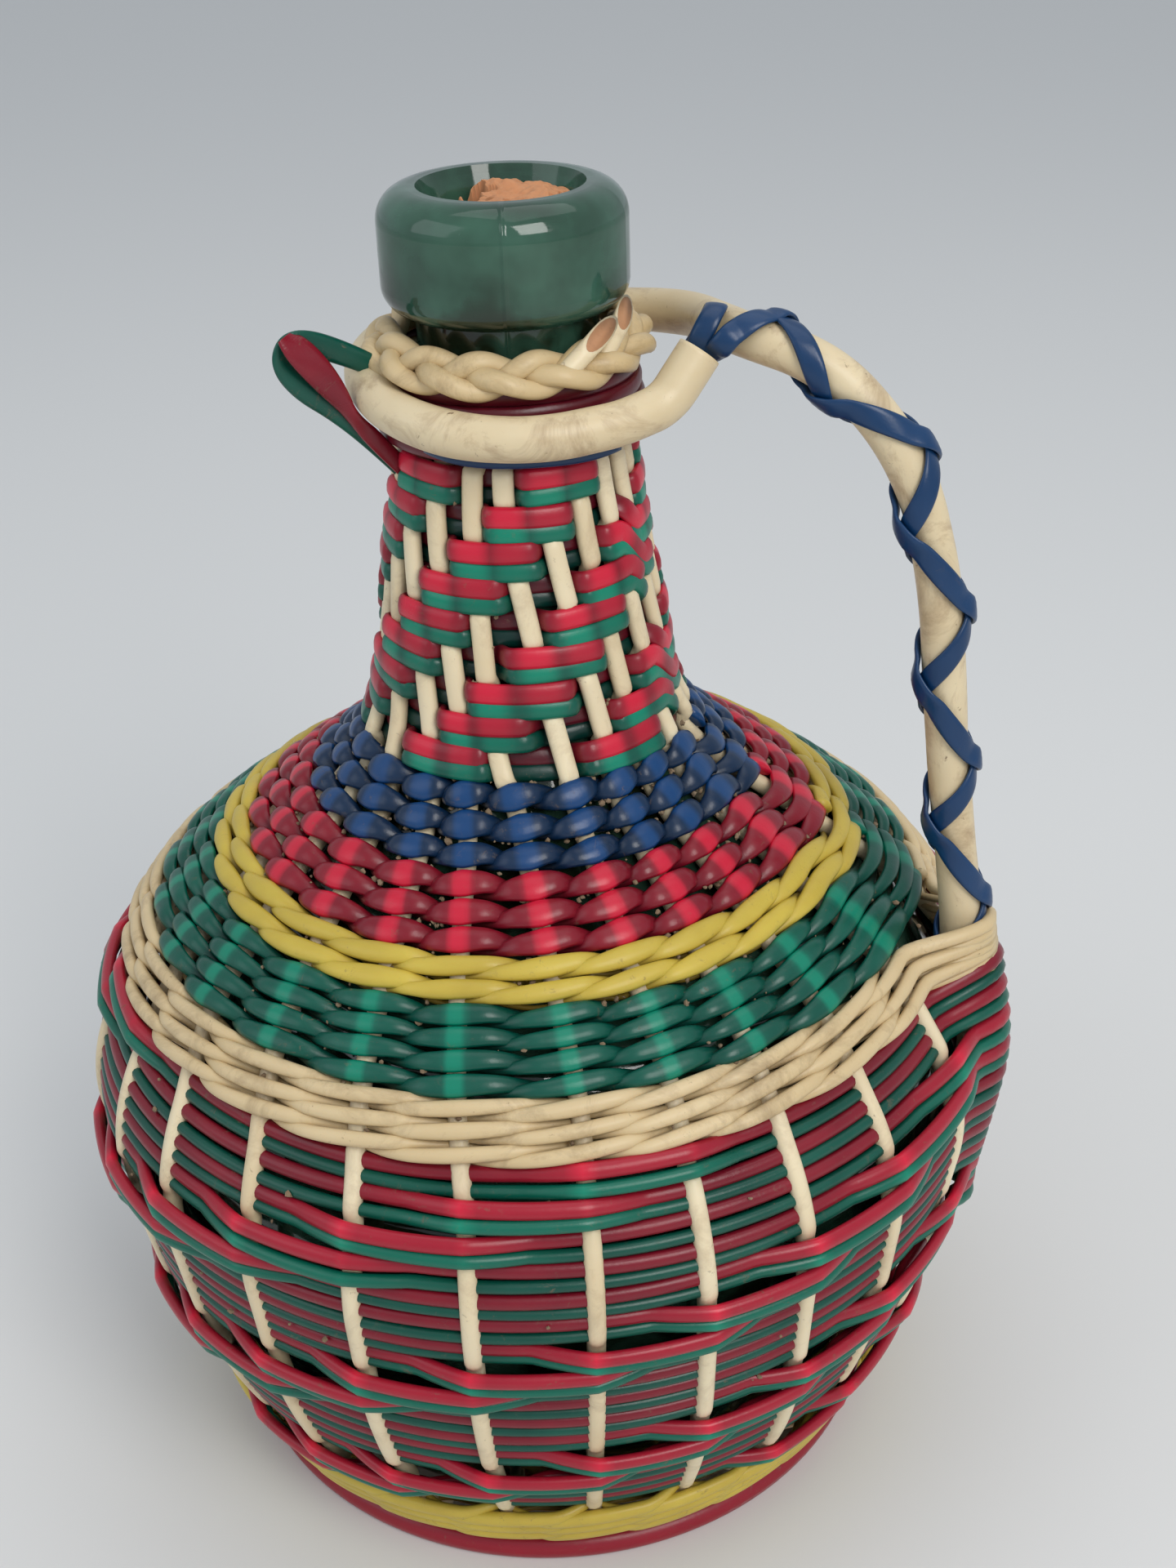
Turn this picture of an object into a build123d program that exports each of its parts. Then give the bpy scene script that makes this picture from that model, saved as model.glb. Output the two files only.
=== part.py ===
from build123d import *
import math
import os

os.makedirs("parts", exist_ok=True)

# Frame: millimetres, +Z up, origin on the floor at the centre of the base, handle towards +X.

# Overall sizes, which the rest of the outline follows
overall_height = 280.0
belly_radius = 105.5
neck_top_radius = 25.0

# Glass flask
lip_height = 22.5
lip_width = 7.7
lip_top_round = 6.0
lip_bottom_round = 5.0
mouth_flare = 2.8
mouth_flare_depth = 9.0
neck_glass_wall = 4.4
glass_wall = 3.2
glass_base_share = 0.784
glass_base_bend = 11.0
punt_share = 0.54
punt_rise = 9.0
punt_bend = 14.0

# Outer outline of the woven cover. Radii are shares of the way from the neck's top to the belly,
# heights are shares of the overall height, and each bend rounds its corner.
foot_radius_share = 0.6087
low_belly_radius_share = 0.8758
low_belly_height_share = 0.1607
low_belly_bend = 150.0
belly_height_share = 0.3679
belly_bend = 45.0
shoulder_radius_share = 0.7578
shoulder_height_share = 0.4786
shoulder_bend = 60.0
neck_root_radius_share = 0.118
neck_root_height_share = 0.6125
neck_root_bend = 30.0
neck_top_height_share = 0.8321

# Strands and stakes of the weave
stake_count = 25
stake_dia = 4.0
stake_base_bend = 12.0
handle_slot_deg = 22.0
strand_dia = 2.8
widest_row_dia = 4.4
row_passes = 3
weave_gap = 0.45

# Bands of rows from the base upwards, as shares of the wall's length along a stake
below_rows_share = 0.0211
base_wale_share = 0.0555
base_wale_rows = 3
body_share = 0.3973
body_rows = 17
cream_wale_share = 0.0444
cream_wale_rows = 3
green_share = 0.0667
green_rows = 4
yellow_wale_share = 0.0368
yellow_wale_rows = 2
red_share = 0.0659
red_rows = 3
blue_share = 0.0712
blue_rows = 3
neck_share = 0.2375
neck_rows = 8

# Woven base
spoke_height = 5.6
hub_radius = 22.0
hub_bore_radius = 6.0
hub_thickness = 5.0
base_row_dia = 3.0
base_row_pitch = 5.5
base_row_count = 7
base_row_margin = 6.5
rim_inset = 1.4
rim_dia = 6.0
rim_flat = 0.5

# Cork
cork_length = 31.0
cork_sink = 2.5
cork_clearance = 0.08
cork_taper_radius = 0.5
cork_break_deg = 24.0
cork_break_offset = 6.0

# Handle rod and the ring that it makes round the neck. The rod's corners are shares of the way
# in and up from its foot in the cream wale to its top beside the ring.
rod_dia = 8.5
sheath_wall = 0.9
core_clearance = 0.15
rod_top_reach = 16.0
rod_top_drop = 26.5
rod_entry_shares = (0.013, 0.081)
rod_low_shares = (0.111, 0.347)
rod_high_shares = (0.188, 0.644)
rod_outer_shares = (0.327, 0.836)
rod_inner_shares = (0.669, 0.965)
rod_low_bend = 120.0
rod_outer_bend = 44.0
rod_inner_bend = 30.0
rod_turn_bend = 11.5
rod_departure_bend = 30.0
ring_reach = 5.0
ring_centre = (2.4, 0.8)
ring_drop = 33.7
ring_front_drop = 5.5
ring_back_rise = 1.6
ring_front_deg = -72.0
ring_start_deg = 75.0
ring_end_deg = 365.0
ring_segments = 10
rod_departure = 20.0
foot_row_start_deg = 14.0
foot_row_run = 8.0
foot_row_bend = 25.0
foot_row_rise = 2.0
apex_passes = 8

# Blue strip wound on the handle
binding_dia = 1.8
binding_layer_gap = 0.6
binding_pitch = 35.0
binding_low = 28.0
binding_high_trim = 11.0
binding_lash_turns = 2
binding_lash_pitch = 2.6
binding_turn_deg = 18.0
turn_softness = 3.0

# Blue strip under the ring
under_strip_inset = 2.0
under_strip_drop = 44.6
under_strip_start_deg = -108.0
under_strip_sweep_deg = 52.0

# Plaited collar and the cut cane ends on it
collar_inset = 1.8
collar_dia = 6.0
collar_drop = 27.2
stake_top_inset = 4.6
neck_top_bend = 60.0
cane_end_dia = 3.2
cane_end_length = 8.0
cane_end_deg = (-36.0, -14.0)
cane_end_rise_deg = 20.0
cane_end_lean_deg = 32.0

# Hanging loop of weaver ends: reach out from the neck's top and drop from the flask's top
loop_deg = -141.0
loop_root_reach = 1.6
loop_root_drop = 42.6
loop_elbow_reach = 11.5
loop_elbow_drop = 40.0
loop_tip_reach = 20.0
loop_tip_drop = 23.0
loop_elbow_bend = 9.0
loop_half_width = 2.6
loop_tip_bend_share = 0.97
loop_pair_gap = 0.4


def unit(x, y):
    length = math.hypot(x, y)
    return x / length, y / length


def inset_corners(corners, depths):
    """Move each run of an outline inwards by its own depth and return the new corners."""
    lines = []
    for (x0, y0), (x1, y1), depth in zip(corners[:-1], corners[1:], depths):
        tx, ty = unit(x1 - x0, y1 - y0)
        lines.append(((x0 - ty * depth, y0 + tx * depth), (tx, ty)))
    moved = [lines[0][0]]
    for ((px, py), (tx, ty)), ((qx, qy), (sx, sy)) in zip(lines[:-1], lines[1:]):
        along = ((qx - px) * sy - (qy - py) * sx) / (tx * sy - ty * sx)
        moved.append((px + tx * along, py + ty * along))
    (x0, y0), (x1, y1) = corners[-2], corners[-1]
    (px, py), (tx, ty) = lines[-1]
    run = math.hypot(x1 - x0, y1 - y0)
    moved.append((px + tx * run, py + ty * run))
    return moved


def height_on(start, end, height):
    """Radius at a height on the straight line between two (radius, height) points."""
    share = (height - start[1]) / (end[1] - start[1])
    return start[0] + (end[0] - start[0]) * share


def upright(points):
    return [(x, 0, z) for x, z in points]


def outline_corner(radius_share, height_share):
    spread = belly_radius - neck_top_radius
    return neck_top_radius + spread * radius_share, overall_height * height_share


# Outlines that follow the outer one inwards
cover_corners = [
    outline_corner(foot_radius_share, 0),
    outline_corner(low_belly_radius_share, low_belly_height_share),
    outline_corner(1, belly_height_share),
    outline_corner(shoulder_radius_share, shoulder_height_share),
    outline_corner(neck_root_radius_share, neck_root_height_share),
    outline_corner(0, neck_top_height_share),
]
foot_radius = cover_corners[0][0]
neck_top_height = cover_corners[-1][1]
run_count = len(cover_corners) - 1
stake_depth = strand_dia + weave_gap + stake_dia / 2
inner_layer = strand_dia + 2 * weave_gap
body_glass_depth = stake_depth + stake_dia / 2 + inner_layer
neck_glass_depth = stake_depth + stake_dia / 2 + weave_gap
stake_corners = inset_corners(cover_corners, [stake_depth] * run_count)
glass_depths = [body_glass_depth] * 3 + [neck_glass_depth] * 2
glass_corners = inset_corners(cover_corners, glass_depths)

# Stake line from the spoke under the flask to the underside of the collar
stake_foot_radius = height_on(stake_corners[0], stake_corners[1], spoke_height)
collar_height = overall_height - collar_drop
collar_underside = collar_height - collar_dia / 2 - weave_gap
wall_points = [(stake_foot_radius, spoke_height)] + stake_corners[1:]
wall_bends = [
    low_belly_bend - stake_depth,
    belly_bend - stake_depth,
    shoulder_bend - stake_depth,
    neck_root_bend + stake_depth,
]
with BuildLine() as wall:
    FilletPolyline(*upright(wall_points), radius=wall_bends)
wall_wire = wall.wires()[0]
wall_length = wall_wire.length


def wall_place(distance, lift):
    """Radius and height of a point lifted off the stake line, and the wall's upright share there."""
    spot = wall_wire.position_at(distance, position_mode=PositionMode.LENGTH)
    along = wall_wire.tangent_at(distance, position_mode=PositionMode.LENGTH)
    return spot.X + along.Z * lift, spot.Z - along.X * lift, along.Z


# Stake angles: equal steps round the wall, with a wide slot for the handle at +X
stake_step_deg = (360.0 - handle_slot_deg) / (stake_count - 1)
stake_angles = [handle_slot_deg / 2 + stake_step_deg * i for i in range(stake_count)]

# Starts of the bands along the stakes, as shares of the wall's length
body_start = below_rows_share + base_wale_share
cream_start = body_start + body_share
green_start = cream_start + cream_wale_share
yellow_start = green_start + green_share
red_start = yellow_start + yellow_wale_share
blue_start = red_start + red_share
neck_start = blue_start + blue_share
print("wall length", round(wall_length, 2), "rows end at", round((neck_start + neck_share) * wall_length, 2))


def row_places(start, band, count):
    """Section centres of the rows of a band on the outside of the stakes, and their diameter."""
    pitch = band * wall_length / count
    dia = min(widest_row_dia, pitch - weave_gap)
    distances = [start * wall_length + pitch * (i + 0.5) for i in range(count)]
    for _ in range(row_passes):
        lift = stake_dia / 2 + weave_gap + dia / 2
        places = [wall_place(distance, lift) for distance in distances]
        nearest = min(math.dist(low[:2], high[:2]) for low, high in zip(places[:-1], places[1:]))
        dia = min(dia, nearest - weave_gap)
    return places, dia


# Glass flask: revolved wall with a punt, a lip and a flared mouth
glass_base_height = spoke_height + stake_dia / 2 + 2 * weave_gap + base_row_dia
neck_glass_radius = glass_corners[-1][0]
lip_bottom = overall_height - lip_height
bore_radius = neck_glass_radius - neck_glass_wall
mouth_radius = bore_radius + mouth_flare
lip_radius = mouth_radius + lip_width
punt_radius = foot_radius * punt_share
glass_base_radius = foot_radius * glass_base_share
glass_outer_points = [
    (0, glass_base_height + punt_rise),
    (punt_radius, glass_base_height + punt_rise),
    (glass_base_radius, glass_base_height),
    (height_on(glass_corners[0], glass_corners[1], glass_base_height), glass_base_height),
]
glass_side_points = glass_corners[1:-1] + [(neck_glass_radius, neck_top_height)]
belly_wall_bends = [
    low_belly_bend - body_glass_depth,
    belly_bend - body_glass_depth,
    shoulder_bend - neck_glass_depth,
    neck_root_bend + neck_glass_depth,
]
floor_bends = [punt_bend / 2, punt_bend / 2, glass_base_bend]
outer_points = glass_outer_points + glass_side_points
outer_bends = floor_bends + belly_wall_bends
cavity_depths = [glass_wall] * (len(outer_points) - 1)
cavity_points = inset_corners(outer_points, cavity_depths)
cavity_bends = [
    punt_bend / 2 + glass_wall,
    punt_bend / 2 - glass_wall,
    glass_base_bend - glass_wall,
    low_belly_bend - body_glass_depth - glass_wall,
    belly_bend - body_glass_depth - glass_wall,
    shoulder_bend - neck_glass_depth - glass_wall,
    neck_root_bend + neck_glass_depth + glass_wall,
]
cavity_points[-1] = (bore_radius, neck_top_height)

with BuildPart() as flask:
    with BuildSketch(Plane.XZ) as flask_section:
        with BuildLine():
            side = FilletPolyline(*outer_points, radius=outer_bends)
            Polyline(
                side @ 1,
                (neck_glass_radius, lip_bottom),
                (lip_radius, lip_bottom),
                (lip_radius, overall_height),
                (0, overall_height),
                side @ 0,
            )
        make_face()
    revolve(axis=Axis.Z)
    lip_edges = flask.edges().filter_by(GeomType.CIRCLE)
    top_rim = lip_edges.filter_by_position(Axis.Z, overall_height, overall_height)
    under_rim = lip_edges.filter_by_position(Axis.Z, lip_bottom, lip_bottom)
    fillet(top_rim, radius=lip_top_round)
    fillet(under_rim.sort_by(SortBy.RADIUS)[-1], radius=lip_bottom_round)
    with BuildSketch(Plane.XZ) as cavity_section:
        with BuildLine():
            inside = FilletPolyline(*cavity_points, radius=cavity_bends)
            Polyline(
                inside @ 1,
                (bore_radius, overall_height - mouth_flare_depth),
                (mouth_radius, overall_height),
                (0, overall_height),
                inside @ 0,
            )
        make_face()
    revolve(axis=Axis.Z, mode=Mode.SUBTRACT)
flask.part.label = "glass_flask"
export_step(flask.part, "parts/glass_flask.step")

# Cork stopper: a plug in the bore, broken off aslant at the top
cork_top = overall_height - cork_sink
cork_bottom = cork_top - cork_length
cork_radius = bore_radius - cork_clearance
with BuildPart() as cork:
    with BuildSketch(Plane.XZ) as cork_section:
        with BuildLine():
            Polyline(
                (0, cork_bottom),
                (cork_radius - cork_taper_radius, cork_bottom),
                (cork_radius, cork_bottom + cork_length / 2),
                (cork_radius, overall_height - mouth_flare_depth),
                (cork_radius - cork_taper_radius, cork_top),
                (0, cork_top),
                close=True,
            )
        make_face()
    revolve(axis=Axis.Z)
    break_plane = Plane(
        origin=(-cork_break_offset, 0, cork_top),
        z_dir=(-math.sin(math.radians(cork_break_deg)), 0, math.cos(math.radians(cork_break_deg))),
    )
    split(bisect_by=break_plane, keep=Keep.BOTTOM)
cork.part.label = "cork_stopper"
export_step(cork.part, "parts/cork_stopper.step")

# Stakes: canes that run from a spoke under the flask, up the wall and to the collar
stake_head = (neck_top_radius - stake_top_inset, collar_underside)
stake_points = [(hub_radius + weave_gap, spoke_height)] + wall_points + [stake_head]
with BuildPart() as stake:
    with BuildLine() as stake_line:
        FilletPolyline(*upright(stake_points), radius=[stake_base_bend] + wall_bends + [neck_top_bend])
    with BuildSketch(stake_line.wires()[0] ^ 0):
        Circle(stake_dia / 2)
    sweep(path=stake_line.wires()[0])
with BuildPart() as stakes:
    with PolarLocations(0, stake_count, handle_slot_deg / 2, 360.0 - handle_slot_deg, endpoint=True):
        add(stake.part)
stakes.part.label = "stakes"
export_step(stakes.part, "parts/stakes.step")


def woven_rings(label, places, dia):
    """Plain rings of one band, one solid for each row."""
    with BuildPart() as rings:
        with BuildSketch(Plane.XZ):
            with Locations(*[(radius, height) for radius, height, _ in places]):
                Circle(dia / 2)
        revolve(axis=Axis.Z)
    rings.part.label = label
    export_step(rings.part, "parts/" + label + ".step")


# Shoulder bands and base wale
blue_places, blue_dia = row_places(blue_start, blue_share, blue_rows)
woven_rings("shoulder_rows_blue", blue_places, blue_dia)
red_places, red_dia = row_places(red_start, red_share, red_rows)
woven_rings("shoulder_rows_red", red_places, red_dia)
yellow_places, yellow_dia = row_places(yellow_start, yellow_wale_share, yellow_wale_rows)
woven_rings("shoulder_wale_yellow", yellow_places, yellow_dia)
green_places, green_dia = row_places(green_start, green_share, green_rows)
woven_rings("shoulder_rows_green", green_places, green_dia)
base_places, base_dia = row_places(below_rows_share, base_wale_share, base_wale_rows)
woven_rings("base_wale_yellow", base_places, base_dia)

# Neck rows: red over green in each pair
neck_places, neck_dia = row_places(neck_start, neck_share, 2 * neck_rows)
woven_rings("neck_rows_green", neck_places[0::2], neck_dia)
woven_rings("neck_rows_red", neck_places[1::2], neck_dia)

# Body rows: red over green in each pair
body_places, body_dia = row_places(body_start, body_share, 2 * body_rows)
woven_rings("body_rows_green", body_places[0::2], body_dia)
woven_rings("body_rows_red", body_places[1::2], body_dia)

# Cream wale: two plain rows, and a lowest one that goes round the outside of the handle foot
cream_places, cream_dia = row_places(cream_start, cream_wale_share, cream_wale_rows)
low_radius, low_height, _ = cream_places[0]
start_turn = math.radians(foot_row_start_deg)
foot_row_start = (low_radius * math.cos(start_turn), low_radius * math.sin(start_turn))
foot_row_corner = (
    foot_row_start[0] + foot_row_run * math.sin(start_turn),
    foot_row_start[1] - foot_row_run * math.cos(start_turn),
)
round_foot = rod_dia / 2 + weave_gap + cream_dia / 2
rod_foot = (cream_places[1][0] + round_foot, body_places[-1][1] + body_dia / 2 + weave_gap)
apex = rod_foot[0] + round_foot
for _ in range(apex_passes):
    slope = math.atan2(foot_row_corner[1], apex - foot_row_corner[0])
    apex = rod_foot[0] + round_foot / math.sin(slope)
with BuildPart() as cream_wale:
    with BuildSketch(Plane.XZ):
        with Locations(*[(radius, height) for radius, height, _ in cream_places[1:]]):
            Circle(cream_dia / 2)
    revolve(axis=Axis.Z)
    with BuildLine() as low_row:
        FilletPolyline(
            (foot_row_start[0], -foot_row_start[1], low_height),
            (foot_row_corner[0], -foot_row_corner[1], low_height),
            (apex, 0, low_height + foot_row_rise),
            (foot_row_corner[0], foot_row_corner[1], low_height),
            (foot_row_start[0], foot_row_start[1], low_height),
            radius=[foot_row_bend, round_foot, foot_row_bend],
        )
        CenterArc((0, 0, low_height), low_radius, foot_row_start_deg, 360.0 - 2 * foot_row_start_deg)
    low_loop = low_row.wires()[0]
    with BuildSketch(low_loop ^ 0):
        Circle(cream_dia / 2)
    sweep(path=low_loop)
cream_wale.part.label = "shoulder_wale_cream"
export_step(cream_wale.part, "parts/shoulder_wale_cream.step")

# Woven base: hub, rings on the spokes and the rim that stands on the floor
with BuildPart() as hub:
    with BuildSketch(Plane.XY.offset(spoke_height - hub_thickness / 2)):
        Circle(hub_radius)
        Circle(hub_bore_radius, mode=Mode.SUBTRACT)
    extrude(amount=hub_thickness)
    hub_edges = hub.edges().filter_by(GeomType.CIRCLE).sort_by(SortBy.RADIUS)
    fillet(hub_edges[-2:], radius=hub_thickness / 4)
hub.part.label = "base_hub"
export_step(hub.part, "parts/base_hub.step")

base_ring_height = spoke_height + stake_dia / 2 + weave_gap + base_row_dia / 2
base_row_start = hub_radius + base_row_margin
base_rings = [(base_row_start + base_row_pitch * i, base_ring_height, 0) for i in range(base_row_count)]
woven_rings("base_rows", base_rings, base_row_dia)

with BuildPart() as rim:
    with BuildSketch(Plane.XZ):
        with Locations((foot_radius - rim_inset, rim_dia / 2 - rim_flat)):
            Circle(rim_dia / 2)
    revolve(axis=Axis.Z)
    split(bisect_by=Plane.XY, keep=Keep.TOP)
rim.part.label = "base_rim_red"
export_step(rim.part, "parts/base_rim_red.step")


# Handle rod: up from its foot in the cream wale, over, and once round the neck
ring_height = overall_height - ring_drop
ring_radius = neck_top_radius + ring_reach


def ring_rise(angle):
    """Height of the ring above its middle: it drops at the front and rises a little behind."""
    lean = math.cos(math.radians(angle - ring_front_deg))
    return -ring_front_drop * lean if lean > 0 else -ring_back_rise * lean


def ring_point(angle, radius):
    turn = math.radians(angle)
    return (
        ring_centre[0] + radius * math.cos(turn),
        ring_centre[1] + radius * math.sin(turn),
        ring_height + ring_rise(angle),
    )


ring_step = (ring_end_deg - ring_start_deg) / ring_segments
corner_radius = ring_radius / math.cos(math.radians(ring_step) / 2)
ring_angles = [ring_start_deg + ring_step * (i + 0.5) for i in range(ring_segments)]
ring_corners = [ring_point(angle, corner_radius) for angle in ring_angles]
start_x, start_y, start_z = ring_point(ring_start_deg, ring_radius)
rod_top = (ring_radius + rod_top_reach, overall_height - rod_top_drop)
ring_turn = math.radians(ring_start_deg)
departure = (
    start_x + rod_departure * math.sin(ring_turn),
    start_y - rod_departure * math.cos(ring_turn),
    (start_z + rod_top[1]) / 2,
)
way_in = rod_top[0] - rod_foot[0]
way_up = rod_top[1] - rod_foot[1]
rod_shares = (rod_entry_shares, rod_low_shares, rod_high_shares, rod_outer_shares, rod_inner_shares)
rod_corners = [(rod_foot[0] + way_in * inward, rod_foot[1] + way_up * upward) for inward, upward in rod_shares]
upright_points = [rod_foot] + rod_corners + [rod_top]
upright_bends = [rod_low_bend, rod_low_bend, rod_low_bend, rod_outer_bend, rod_inner_bend, rod_turn_bend]
rod_points = upright(upright_points) + [departure] + ring_corners + [ring_point(ring_end_deg, ring_radius)]
rod_bends = upright_bends + [rod_departure_bend] + [ring_radius - rod_dia / 4] * ring_segments
with BuildLine() as rod_line:
    FilletPolyline(*rod_points, radius=rod_bends)
rod_wire = rod_line.wires()[0]
with BuildLine() as rod_upright:
    FilletPolyline(*upright(upright_points), radius=upright_bends[:-1])
upright_wire = rod_upright.wires()[0]

with BuildPart() as sheath:
    with BuildSketch(rod_wire ^ 0):
        Circle(rod_dia / 2)
        Circle(rod_dia / 2 - sheath_wall, mode=Mode.SUBTRACT)
    sweep(path=rod_wire)
sheath.part.label = "handle_sheath"
export_step(sheath.part, "parts/handle_sheath.step")

core_radius = rod_dia / 2 - sheath_wall - core_clearance
with BuildPart() as core:
    with BuildSketch(rod_wire ^ 0):
        Circle(core_radius)
    sweep(path=rod_wire)
core.part.label = "handle_core"
export_step(core.part, "parts/handle_core.step")

# Blue binding: one strip that winds down the handle and back up over itself
binding_inner = rod_dia / 2 + weave_gap + binding_dia / 2
binding_outer = binding_inner + binding_dia + binding_layer_gap
binding_high = upright_wire.length - binding_high_trim
lash_length = binding_lash_turns * binding_lash_pitch
quarter_rise = binding_pitch / 4
lash_quarters = 4 * binding_lash_turns
down_quarters = (binding_high - lash_length - binding_low) / quarter_rise
turn_quarter = lash_quarters + down_quarters
last_quarter = math.floor(turn_quarter + down_quarters) - 1


def binding_point(quarter):
    """Centre of the strip after a number of quarter turns from its upper end."""
    if quarter < lash_quarters:
        distance = binding_high - lash_length * quarter / lash_quarters
    else:
        rise = quarter_rise * (quarter - turn_quarter)
        distance = binding_low + math.hypot(rise, turn_softness) - turn_softness
    share = min(max((quarter - turn_quarter + 1) / 2, 0), 1)
    radius = binding_inner + (binding_outer - binding_inner) * share * share * (3 - 2 * share)
    turn = math.radians(binding_turn_deg + 90 * (quarter - turn_quarter))
    spot = upright_wire.position_at(distance, position_mode=PositionMode.LENGTH)
    along = upright_wire.tangent_at(distance, position_mode=PositionMode.LENGTH)
    outward = Vector(along.Z, 0, -along.X)
    return spot + outward * (radius * math.cos(turn)) + Vector(0, radius * math.sin(turn), 0)


def binding_heading(quarter):
    step = 0.02
    return (binding_point(quarter + step) - binding_point(quarter - step)).normalized()


def biarc(start, start_way, end, end_way):
    """Two tangent arcs between two points with given headings."""
    gap = end - start
    ways = start_way + end_way
    spread = 2 * (1 - start_way.dot(end_way))
    reach = (math.sqrt(gap.dot(ways) ** 2 + spread * gap.dot(gap)) - gap.dot(ways)) / spread
    middle = (start + end + (start_way - end_way) * reach) * 0.5
    middle_way = (end - end_way * reach - start - start_way * reach).normalized()
    first = TangentArc(start, middle, tangent=start_way)
    second = TangentArc(middle, end, tangent=middle_way)
    return first, second


with BuildLine() as binding_line:
    for quarter in range(last_quarter):
        biarc(
            binding_point(quarter),
            binding_heading(quarter),
            binding_point(quarter + 1),
            binding_heading(quarter + 1),
        )
binding_wire = binding_line.wires()[0]
with BuildPart() as binding:
    with BuildSketch(binding_wire ^ 0):
        Circle(binding_dia / 2)
    sweep(path=binding_wire)
binding.part.label = "handle_binding"
export_step(binding.part, "parts/handle_binding.step")

half_turn = math.pi * binding_inner
point_count = math.ceil(binding_wire.length / binding_dia)
step_length = binding_wire.length / point_count
points = [binding_wire.position_at(i / point_count) for i in range(point_count + 1)]
least = min(
    (points[i] - points[j]).length
    for i in range(point_count + 1)
    for j in range(i + math.ceil(half_turn / step_length), point_count + 1)
)
print("binding quarter turns", last_quarter, "least gap to itself", round(least - binding_dia, 2))

# Blue strip that lies under the front of the ring
with BuildPart() as under_strip:
    with BuildLine(Plane.XY.offset(overall_height - under_strip_drop)) as under_line:
        CenterArc(ring_centre, ring_radius - under_strip_inset, under_strip_start_deg, under_strip_sweep_deg)
    with BuildSketch(under_line.wires()[0] ^ 0):
        Circle(binding_dia / 2)
    sweep(path=under_line.wires()[0])
under_strip.part.label = "neck_tie_blue"
export_step(under_strip.part, "parts/neck_tie_blue.step")

# Plaited collar and the cut cane ends that stand up from it
collar_radius = neck_top_radius - collar_inset
with BuildPart() as collar:
    with BuildSketch(Plane.XZ):
        with Locations((collar_radius, collar_height)):
            Circle(collar_dia / 2)
    revolve(axis=Axis.Z)
collar.part.label = "neck_collar_braid"
export_step(collar.part, "parts/neck_collar_braid.step")

cane_reach = collar_dia / 2 + weave_gap + cane_end_dia / 2
cane_lean = math.radians(cane_end_lean_deg)
cane_radius = collar_radius + cane_reach * math.sin(cane_lean)
cane_height = collar_height + cane_reach * math.cos(cane_lean)
with BuildPart() as cane_ends:
    for angle in cane_end_deg:
        turn = math.radians(angle)
        foot = Plane(
            origin=(cane_radius * math.cos(turn), cane_radius * math.sin(turn), cane_height),
            x_dir=(math.cos(turn), math.sin(turn), 0),
            z_dir=(-math.sin(turn), math.cos(turn), math.tan(math.radians(cane_end_rise_deg))),
        )
        with BuildSketch(foot):
            Circle(cane_end_dia / 2)
        extrude(amount=cane_end_length)
cane_ends.part.label = "collar_cane_ends"
export_step(cane_ends.part, "parts/collar_cane_ends.step")


def hanging_loop(label, drop):
    """Hairpin of one strand that stands out from under the ring, lowered square to its run."""
    reaches = (loop_root_reach, loop_elbow_reach, loop_tip_reach)
    drops = (loop_root_drop, loop_elbow_drop, loop_tip_drop)
    middle_line = [(neck_top_radius + out, overall_height - down) for out, down in zip(reaches, drops)]
    corners = inset_corners(middle_line, [-drop, -drop])
    turn = math.radians(loop_deg)
    legs = []
    for side in (-loop_half_width, loop_half_width):
        legs.append(
            [
                (
                    radius * math.cos(turn) - side * math.sin(turn),
                    radius * math.sin(turn) + side * math.cos(turn),
                    height,
                )
                for radius, height in corners
            ]
        )
    tip_bend = loop_half_width * loop_tip_bend_share
    bends = [loop_elbow_bend + drop, tip_bend, tip_bend, loop_elbow_bend + drop]
    with BuildPart() as hairpin:
        with BuildLine() as hairpin_line:
            FilletPolyline(*legs[0], *reversed(legs[1]), radius=bends)
        with BuildSketch(hairpin_line.wires()[0] ^ 0):
            Circle(strand_dia / 2)
        sweep(path=hairpin_line.wires()[0])
    hairpin.part.label = label
    export_step(hairpin.part, "parts/" + label + ".step")


# Hanging loop of red and green weaver ends, the red one on top
hanging_loop("hanging_loop_red", 0)
hanging_loop("hanging_loop_green", strand_dia + loop_pair_gap)
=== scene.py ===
import math

import bpy
import numpy as np
from mathutils import Matrix, Vector


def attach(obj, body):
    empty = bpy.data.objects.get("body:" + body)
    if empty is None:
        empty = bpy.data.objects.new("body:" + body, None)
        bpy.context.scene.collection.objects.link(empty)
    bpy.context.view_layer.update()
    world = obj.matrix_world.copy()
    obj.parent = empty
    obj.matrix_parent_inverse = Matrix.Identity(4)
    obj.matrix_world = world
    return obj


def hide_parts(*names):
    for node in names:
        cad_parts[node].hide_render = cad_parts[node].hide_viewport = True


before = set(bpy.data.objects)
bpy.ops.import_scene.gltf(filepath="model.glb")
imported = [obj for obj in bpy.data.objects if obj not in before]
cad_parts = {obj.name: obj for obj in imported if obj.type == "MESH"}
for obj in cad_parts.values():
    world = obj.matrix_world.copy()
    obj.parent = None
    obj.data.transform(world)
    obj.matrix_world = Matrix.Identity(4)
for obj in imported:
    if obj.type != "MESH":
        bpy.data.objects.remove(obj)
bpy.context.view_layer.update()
rng = np.random.default_rng(7)
MM = 0.001
# Angle round the axis of the side that faces the camera, in degrees; the handle is at 0
FRONT = -72.0

# ---------------------------------------------------------------- outline of the woven wall, in mm
# Radius and height of the outline's sharp corners, and the bends of the stake line at them
COVER = [(74, 0), (95.5, 45), (105.5, 103), (86, 134), (34.5, 171.5), (25, 233)]
WALL_BENDS = [144.75, 39.75, 54.75, 35.25]
STAKE_DIA, STRAND_DIA, GAP = 4.0, 2.8, 0.45
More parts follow.
